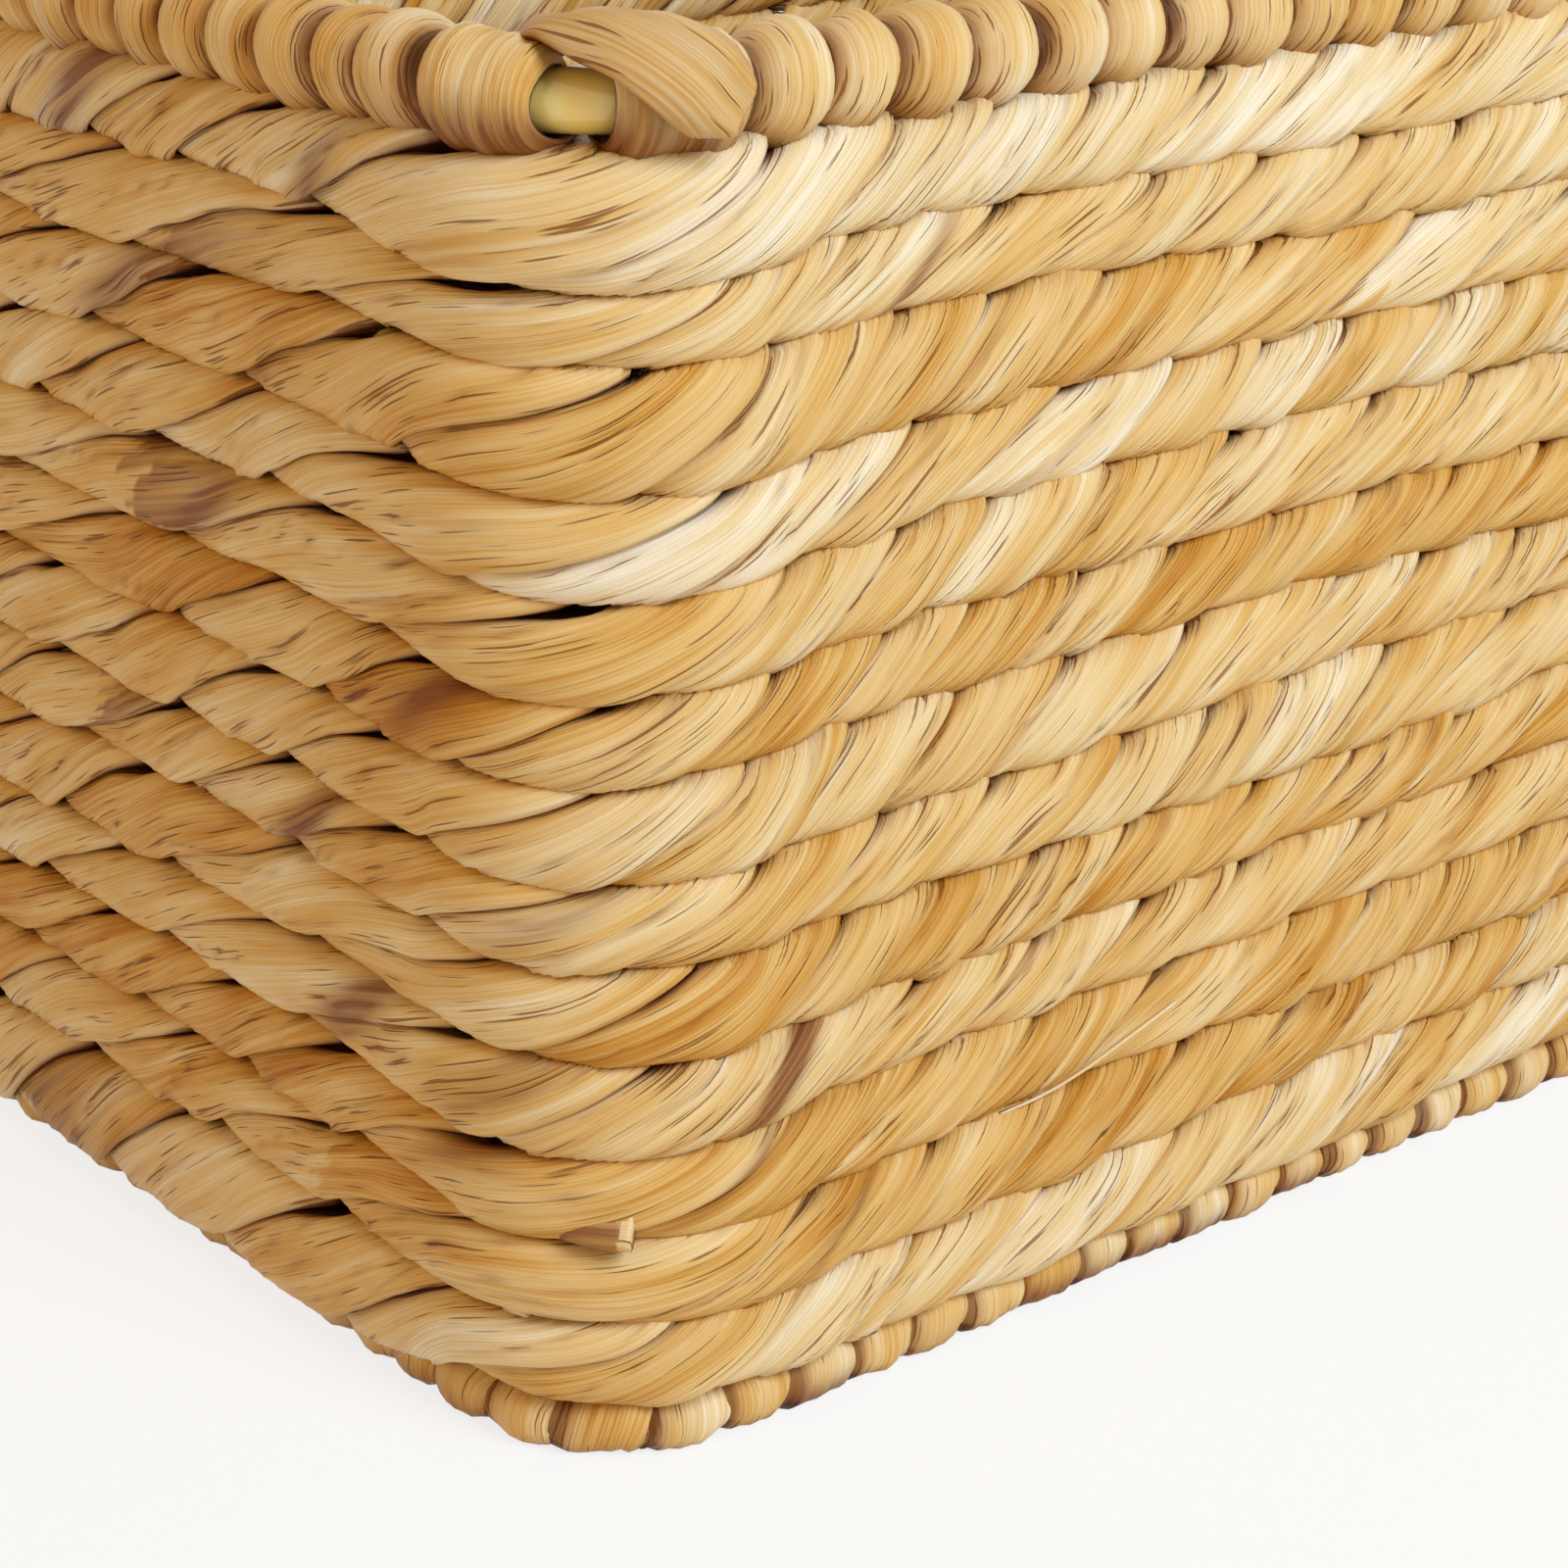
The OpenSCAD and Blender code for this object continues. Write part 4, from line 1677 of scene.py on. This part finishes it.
@dataclass
class Bindings:
    """Wound strands over the rim core and the foot core."""

    path: WallPath
    fine_variants: int = 6
    plain_variants: int = 3
    # Wraps in view of the photo's camera, from the start of each binding.
    fine_wraps: int = 20
    plain_rings: int = 18
    plain_points: int = 9
    # How much wraps differ in size, in turn and in tone.
    swell: float = 0.06
    sway: float = 0.1
    tone: float = 0.11
    rim_pitch: float = 8.4 * MM
    foot_pitch: float = 8.0 * MM
    # How far the wraps stand out over the solid bindings.
    rim_stand: float = 0.3 * MM
    foot_stand: float = 0.2 * MM
    # The first wrap of a rim strand lies under no other one: its least reach, and a pitch that bares it all,
    # so that it gets no painted shade from a wrap before.
    first_pinch: float = 0.85
    first_pitch: float = 25.6 * MM
    first_crest: tuple[tuple[float, float], ...] = (
        (-1.0, -0.5),
        (-0.85, -0.16),
        (-0.5, 0.0),
        (0.6, 0.06),
        (0.82, 0.0),
        (1.0, -0.32),
    )
    # Height across a wrap of the foot, which is round like a bead.
    bead_crest: tuple[tuple[float, float], ...] = (
        (-1.0, -0.9),
        (-0.8, -0.5),
        (-0.45, -0.12),
        (0.0, 0.04),
        (0.45, -0.04),
        (0.8, -0.34),
        (1.0, -0.8),
    )
    # Bare length of the rim core on both sides of the photographed corner.
    bare_left: float = 7.6 * MM
    bare_right: float = 8.2 * MM
    # Wraps by which both rim strands run past each other at the far corner.
    crossing: float = 0.6
    path_step: float = 1.0 * MM

    def _rim(self) -> list[Winding]:
        """Plans both rim strands.

        Returns:
            The strand to the right of the photographed corner and the one to its left.
        """
        low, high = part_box("rim_core")
        height = (low.z + high.z) / 2.0
        shape = WrapShape(
            radius=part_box("rim_binding_left_back")[1].z - height + self.rim_stand,
            reach=6.4 * MM,
            pitch=self.rim_pitch,
            lean=3.3 * MM,
        )
        first = replace(shape, crest=self.first_crest, pitch=self.first_pitch, pinch=self.first_pinch)
        corner = self.path.corner
        half = self.path.length / 2.0 + self.rim_pitch * self.crossing
        spans = (
            ("rim_binding_front_right", corner + self.bare_right, corner + half, -1.0),
            ("rim_binding_left_back", corner - self.bare_left, corner - half, 1.0),
        )
        return [
            Winding(node, first, shape, start, end, height, outward)
            for node, start, end, outward in spans
        ]

    def _foot(self) -> Winding:
        """Plans the foot's strand.

        Returns:
            The winding of the foot.
        """
        low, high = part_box("foot_core")
        height = (low.z + high.z) / 2.0
        shape = WrapShape(
            radius=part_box("foot_binding")[1].z - height + self.foot_stand,
            reach=5.3 * MM,
            tuck=0.5,
            tuck_fade=0.06,
            groove=0.3,
            bare_shade=1.0,
            pitch=self.foot_pitch,
            lean=1.8 * MM,
            floor=height,
            pinch=0.85,
            thick=1.0 * MM,
            slant=3.0 * MM,
            crest=self.bead_crest,
        )
        start = self.path.corner
        end = start + self.path.length - self.foot_pitch
        return Winding("foot_binding", shape, shape, start, end, height, outward=-1.0)

    def _points(self, winding: Winding) -> Array:
        """Samples the path of a winding.

        Args:
            winding: The winding.

        Returns:
            Points in order.
        """
        count = max(int(abs(winding.high - winding.low) / self.path_step), 2)
        points, _ = self.path.place(np.linspace(winding.low, winding.high, count))
        points[:, 2] = winding.height
        return points

    def build(self, finish: bpy.types.Material) -> list[bpy.types.Object]:
        """Builds the three bindings.

        Args:
            finish: Material of the strands.

        Returns:
            The bindings' objects.
        """
        wrap_field = WrapField()
        pieces = []
        for number, winding in enumerate([*self._rim(), self._foot()]):
            noise = Noise(BINDING_SEED + number)
            plain = replace(winding.shape, rings=self.plain_rings, points=self.plain_points)
            fine = [winding.first, *[winding.shape] * (self.fine_variants - 1)]
            variants = [
                one.build(noise, winding.outward).to_object(f"{winding.node}_wrap_{i}", finish)
                for i, one in enumerate([*fine, *[plain] * self.plain_variants])
            ]
            values = {
                "Fine variants": self.fine_variants,
                "Fine wraps": self.fine_wraps,
                "Pitch": winding.shape.pitch,
                "Swell": self.swell,
                "Sway": self.sway,
                "Tone": self.tone,
                "Seed": SEED + number,
                "Finish": finish,
            }
            piece = wrap_field.lay(f"{winding.node}_wraps", self._points(winding), variants, values)
            hand_over(piece, winding.node)
            pieces.append(piece)
        bpy.data.node_groups.remove(wrap_field.tree)
        return pieces


def flow(knots: Sequence[Sequence[float]], count: int) -> Array:
    """Samples a smooth curve through rows of values.

    Args:
        knots: Rows of values that the curve passes.
        count: Number of samples.

    Returns:
        Sampled rows.
    """
    rows = np.array(knots, dtype=float)
    padded = np.vstack([2.0 * rows[0] - rows[1], rows, 2.0 * rows[-1] - rows[-2]])
    t = np.linspace(0.0, len(rows) - 1.0, count)
    cell = np.minimum(t.astype(int), len(rows) - 2)
    u = (t - cell)[:, None]
    a, b, c, d = (padded[cell + step] for step in range(4))
    bend = (2.0 * a - 5.0 * b + 4.0 * c - d) * u**2 + (3.0 * b - a - 3.0 * c + d) * u**3
    return b + 0.5 * ((c - a) * u + bend)


@dataclass(frozen=True)
class Sliver:
    """A short flat strand that lies on a rope or hoop, given by stations.

    A station has its distance from the photographed corner, its angle from outward towards up in degrees,
    its distance from the hoop's centre and its half width, with lengths in millimetres.
    """

    node: str
    stations: tuple[tuple[float, float, float, float], ...]
    thick: float
    curl: float = 0.0
    tone: float = 0.6
    stain: float = 0.0
    rings: int = 26
    points: int = 20
    # Exponent of the section's width: 1 is an ellipse, and less is boxier.
    section: float = 0.8
    # Height and cells of the veins and of the broad crumples.
    ridge: float = 0.16 * MM
    veins: tuple[int, int] = (3, 9)
    fine_veins: tuple[int, int] = (5, 18)
    crumple: float = 0.0
    crumples: tuple[int, int] = (7, 2)
    # Drift of the tone, and its cells.
    tone_drift: float = 0.06
    tones: tuple[int, int] = (4, 3)
    # Shade of the underside, which starts at this height of the section, and of the edges.
    under_from: float = -0.2
    under_shade: float = 0.8
    edge_shade: float = 0.4
    edge_power: float = 6.0

    def add_to(self, parts: MeshParts, path: WallPath, noise: Noise) -> None:
        """Adds the sliver to a mesh.

        Args:
            parts: Mesh that takes it.
            path: Centreline of the wall.
            noise: Random stream.
        """
        low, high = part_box(self.node)
        along, angle, away, half = flow(self.stations, self.rings).T
        points, outward = path.place(path.corner + along * MM)
        turn = np.radians(angle)[:, None]
        normal = np.cos(turn) * outward + np.sin(turn) * np.array(UP)
        centre = points + normal * (away * MM)[:, None]
        centre[:, 2] += (low.z + high.z) / 2.0
        ahead = np.gradient(centre, axis=0)
        ahead /= np.linalg.norm(ahead, axis=1)[:, None]
        side = np.cross(ahead, normal)
        side /= np.linalg.norm(side, axis=1)[:, None]
        normal = np.cross(side, ahead)
        phi = np.linspace(0.0, TAU, self.points, endpoint=False)
        x = np.sign(np.cos(phi)) * np.abs(np.cos(phi)) ** self.section
        t = np.linspace(0.0, 1.0, self.rings)
        q = (x + 1.0) / 2.0
        veins = noise.veins(t, q, self.veins, self.fine_veins)
        folds = noise.sheet(t, q, *self.crumples)
        lift = self.thick * np.sin(phi)[None, :] - self.curl * (x**2)[None, :]
        lift = lift + self.ridge * veins + self.crumple * folds
        wide = (half * MM)[:, None] * x[None, :]
        grid = (
            centre[:, None, :] + wide[..., None] * side[:, None, :] + lift[..., None] * normal[:, None, :]
        )
        start = noise.rng.uniform(0.0, 1.0)
        length = np.linalg.norm(np.diff(centre, axis=0), axis=1)
        fibre = np.empty((self.rings, self.points, 2))
        fibre[..., 0] = np.concatenate([[0.0], np.cumsum(length)])[:, None] + start
        fibre[..., 1] = wide + start
        # Painted shade on the underside and along the edges.
        edges = self.edge_shade * np.abs(x) ** self.edge_power
        shade = np.zeros((self.rings, self.points, 3))
        shade[..., 0] = self.tone + self.tone_drift * noise.sheet(t, q, *self.tones)
        shade[..., 1] = np.where(np.sin(phi) < self.under_from, self.under_shade, edges)[None, :]
        shade[..., 2] = self.stain
        parts.add_tube(grid, fibre, shade, capped=True)


def crumb(
    node: str,
    stations: tuple[tuple[float, float, float, float], ...],
    tone: float = 0.95,
    thick: float = 0.8 * MM,
) -> Sliver:
    """Makes a pale crumb of pith.

    Args:
        node: Node of the row that it sits on.
        stations: Stations of the sliver.
        tone: Tone of the pith.
        thick: Half thickness.

    Returns:
        The crumb as a sliver with few points.
    """
    return Sliver(node, stations, thick=thick, tone=tone, rings=8, points=12)


@dataclass
class LooseEnds:
    """Strand ends that stick out: a folded end over the rim, cut stubs, crumbs of pith and a fibre."""

    path: WallPath
    rim_end: tuple[Sliver, ...] = (
        Sliver(
            "rim_core",
            (
                (-6.5, 140.0, 4.6, 2.0),
                (-4.0, 112.0, 6.0, 2.7),
                (-0.5, 86.0, 7.0, 3.6),
                (3.8, 58.0, 8.0, 4.5),
                (7.4, 30.0, 8.6, 4.9),
                (9.7, 8.0, 8.3, 4.4),
                (10.9, -3.0, 7.9, 3.0),
            ),
            thick=1.0 * MM,
            curl=1.7 * MM,
            tone=0.56,
            stain=0.25,
            rings=44,
            ridge=0.5 * MM,
            crumple=0.9 * MM,
        ),
    )
    wall_bits: tuple[Sliver, ...] = (
        Sliver(
            "wall_row_12",
            ((-6.0, 72.0, 4.8, 0.6), (-3.0, 66.0, 6.2, 2.0), (0.0, 60.0, 7.4, 2.9), (2.4, 56.0, 8.1, 3.2)),
            thick=1.2 * MM,
            stain=0.8,
        ),
        Sliver(
            "wall_row_12",
            ((2.0, 56.7, 8.0, 3.1), (2.6, 55.7, 8.15, 3.2), (3.2, 54.7, 8.3, 3.0)),
            thick=1.1 * MM,
            tone=0.62,
            rings=4,
        ),
        crumb(
            "wall_row_13",
            ((-9.0, 62.0, 4.8, 0.6), (-7.5, 60.0, 5.8, 1.1), (-5.6, 58.0, 6.3, 1.2)),
            tone=0.8,
        ),
        crumb("wall_row_07", ((-10.5, 78.0, 4.8, 0.5), (-8.5, 70.0, 5.9, 1.6), (-6.5, 66.0, 5.6, 1.2))),
        crumb("wall_row_11", ((-30.5, 75.0, 4.8, 0.4), (-29.2, 70.0, 5.7, 1.2), (-27.6, 70.0, 5.2, 0.6))),
        crumb(
            "wall_row_05",
            ((-61.0, 74.0, 4.8, 0.4), (-59.0, 70.0, 5.8, 1.3), (-57.0, 70.0, 5.2, 0.5)),
            thick=0.7 * MM,
        ),
        Sliver(
            "wall_row_11",
            (
                (47.0, -48.0, 5.7, 0.25),
                (54.0, -25.0, 6.0, 0.22),
                (62.0, 0.0, 6.0, 0.2),
                (71.0, 22.0, 5.9, 0.16),
            ),
            thick=0.2 * MM,
            tone=0.9,
            points=8,
            ridge=0.0,
        ),
    )

    def build(self, rim: bpy.types.Material, wall: bpy.types.Material) -> list[bpy.types.Object]:
        """Builds the ends.

        Args:
            rim: Material of the binding's strand.
            wall: Material of the wall's strands.

        Returns:
            The objects of the rim's end and of the wall's bits.
        """
        plans = (
            ("rim_strand_end", self.rim_end, rim, Slot.BINDING),
            ("wall_strand_ends", self.wall_bits, wall, Slot.WALL),
        )
        pieces = []
        for number, (name, slivers, finish, slot) in enumerate(plans):
            noise = Noise(LOOSE_SEED + number)
            parts = MeshParts()
            for sliver in slivers:
                sliver.add_to(parts, self.path, noise)
            piece = parts.to_object(name, finish)
            hand_over(piece)
            pieces.append(piece)
        return pieces


@dataclass
class CaneFrame:
    """Hoops and stakes that the strands hold to, kept as the solids that they are."""

    nodes: tuple[str, ...] = (
        "rim_core",
        "foot_core",
        "front_stakes",
        "back_stakes",
        "left_stakes",
        "right_stakes",
        "base_stakes",
    )

    def dress(self, finish: bpy.types.Material) -> list[bpy.types.Object]:
        """Gives the hoops and stakes their finish.

        Args:
            finish: Material of the cane.

        Returns:
            The dressed nodes.
        """
        dressed = []
        for name in self.nodes:
            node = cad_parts[name]
            node.data.materials.clear()
            node.data.materials.append(finish)
            dressed.append(node)
        return dressed


@dataclass(frozen=True)
class Lamp:
    """A square soft light, with its place and side in metres and its power in watts."""

    name: str
    place: tuple[float, float, float]
    size: float
    power: float
    colour: str

    def build(self, aim: Vector) -> None:
        """Adds the light.

        Args:
            aim: Point that it faces.
        """
        data = bpy.data.lights.new(self.name, "AREA")
        data.size = self.size
        data.energy = self.power
        data.color = linear(self.colour)[:3]
        light = new_object(self.name, data)
        light.location = Vector(self.place)
        light.rotation_euler = (aim - light.location).to_track_quat("-Z", "Y").to_euler()


@dataclass
class Studio:
    """White floor, soft lights and the camera of the photo."""

    floor_size: float = 6.0
    floor_colour: str = "#F7F7F6"
    # Share of plain white in the floor as it is seen, which leaves a soft shadow.
    floor_white: float = 0.8
    # Distances between which the floor goes over to plain white.
    fade_from: float = 250.0 * MM
    fade_to: float = 900.0 * MM
    white: str = "#FFFFFF"
    sky_colour: str = "#FFDCA2"
    sky: float = 0.42
    # Key light from the front, a little cool, and a warm fill from the left.
    lamps: tuple[Lamp, ...] = (
        Lamp("key", place=(0.0, -1.05, 0.9), size=0.6, power=14.1, colour="#DEEFFF"),
        Lamp("fill", place=(-1.1, 0.1, 0.6), size=0.9, power=1.6, colour="#FFCB82"),
    )
    aim: tuple[float, float, float] = (-100.0 * MM, -60.0 * MM, 70.0 * MM)
    camera_at: tuple[float, float, float] = (-336.4 * MM, -351.9 * MM, 196.1 * MM)
    yaw: float = math.radians(40.04)
    pitch: float = math.radians(20.9)
    roll: float = math.radians(-0.08)
    sensor: float = 36.0
    lens: float = 85.4
    clip: float = 10.0 * MM

    @staticmethod
    def _seen(tree: bpy.types.NodeTree) -> Socket:
        """Finds the rays that show the background: straight ones and those off gloss or through glass.

        Args:
            tree: Tree of a material or the world.

        Returns:
            Socket that is 1 for such rays and 0 for the rest.
        """
        path = add_node(tree, "ShaderNodeLightPath").outputs
        seen = path["Is Camera Ray"]
        for kind in ("Is Glossy Ray", "Is Transmission Ray"):
            seen = reckon(tree, "MAXIMUM", seen, path[kind])
        return seen

    def _floor(self) -> None:
        """Adds the floor, which isn't part of the object."""
        half = self.floor_size / 2.0
        corners = [(-half, -half, 0.0), (half, -half, 0.0), (half, half, 0.0), (-half, half, 0.0)]
        mesh = bpy.data.meshes.new("floor")
        mesh.from_pydata(corners, [], [(0, 1, 2, 3)])
        material = bpy.data.materials.new("studio_paper")
        tree = blank_tree(material)
        paper = add_node(tree, "ShaderNodeBsdfDiffuse", None, {"Color": linear(self.floor_colour)})
        white = add_node(tree, "ShaderNodeEmission", None, {"Color": linear(self.white)})
        place = add_node(tree, "ShaderNodeTexCoord").outputs["Object"]
        away = add_node(tree, "ShaderNodeVectorMath", {"operation": "LENGTH"}, {0: place}).outputs["Value"]
        fade = soft_step(tree, away, self.fade_from, self.fade_to, self.floor_white)
        share = reckon(tree, "MULTIPLY", self._seen(tree), fade)
        inputs = {0: share, 1: paper.outputs[0], 2: white.outputs[0]}
        mixed = add_node(tree, "ShaderNodeMixShader", None, inputs)
        add_node(tree, "ShaderNodeOutputMaterial", None, {"Surface": mixed.outputs[0]})
        mesh.materials.append(material)
        new_object("floor", mesh)

    def _world(self) -> None:
        """Sets a soft sky that the camera sees as plain white."""
        world = bpy.data.worlds.new("studio")
        tree = blank_tree(world)
        soft, white = (
            add_node(tree, "ShaderNodeBackground", None, {"Color": linear(code), "Strength": strength})
            for code, strength in ((self.sky_colour, self.sky), (self.white, 1.0))
        )
        inputs = {0: self._seen(tree), 1: soft.outputs[0], 2: white.outputs[0]}
        mixed = add_node(tree, "ShaderNodeMixShader", None, inputs)
        add_node(tree, "ShaderNodeOutputWorld", None, {"Surface": mixed.outputs[0]})
        bpy.context.scene.world = world

    def _camera(self) -> None:
        """Sets the camera as it stood for the photo."""
        data = bpy.data.cameras.new("camera")
        data.sensor_width = self.sensor
        data.lens = self.lens
        data.clip_start = self.clip
        camera = new_object("camera", data)
        level = math.cos(self.pitch)
        ahead = Vector((math.sin(self.yaw) * level, math.cos(self.yaw) * level, -math.sin(self.pitch)))
        camera.rotation_mode = "QUATERNION"
        camera.rotation_quaternion = Quaternion(ahead, self.roll) @ ahead.to_track_quat("-Z", "Y")
        camera.location = self.camera_at
        bpy.context.scene.camera = camera

    def build(self) -> None:
        """Sets up the whole studio."""
        self._floor()
        self._world()
        for lamp in self.lamps:
            lamp.build(Vector(self.aim))
        self._camera()
        bpy.context.scene.view_settings.view_transform = "Standard"


def main() -> None:
    """Builds the basket's looks and its studio."""
    logging.basicConfig(level=logging.INFO, format="%(name)s: %(message)s")
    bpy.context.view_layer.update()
    bend = 16.8 * MM
    path = WallPath.from_core("rim_core", bend)
    wall = HyacinthFinish("dried_water_hyacinth_wall").build()
    base = HyacinthFinish("dried_water_hyacinth_base").build()
    binding = HyacinthFinish("dried_water_hyacinth_binding", streak_from=0.72).build()
    pieces = [
        *WallRows(path).build(wall),
        *BaseRows().build(base),
        *Bindings(path).build(binding),
        *LooseEnds(path).build(binding, wall),
        *CaneFrame().dress(CaneFinish().build()),
    ]
    for piece in pieces:
        log.info("%s has %d faces", piece.name, len(piece.data.polygons))
    Studio().build()


if __name__ == "__main__":
    main()
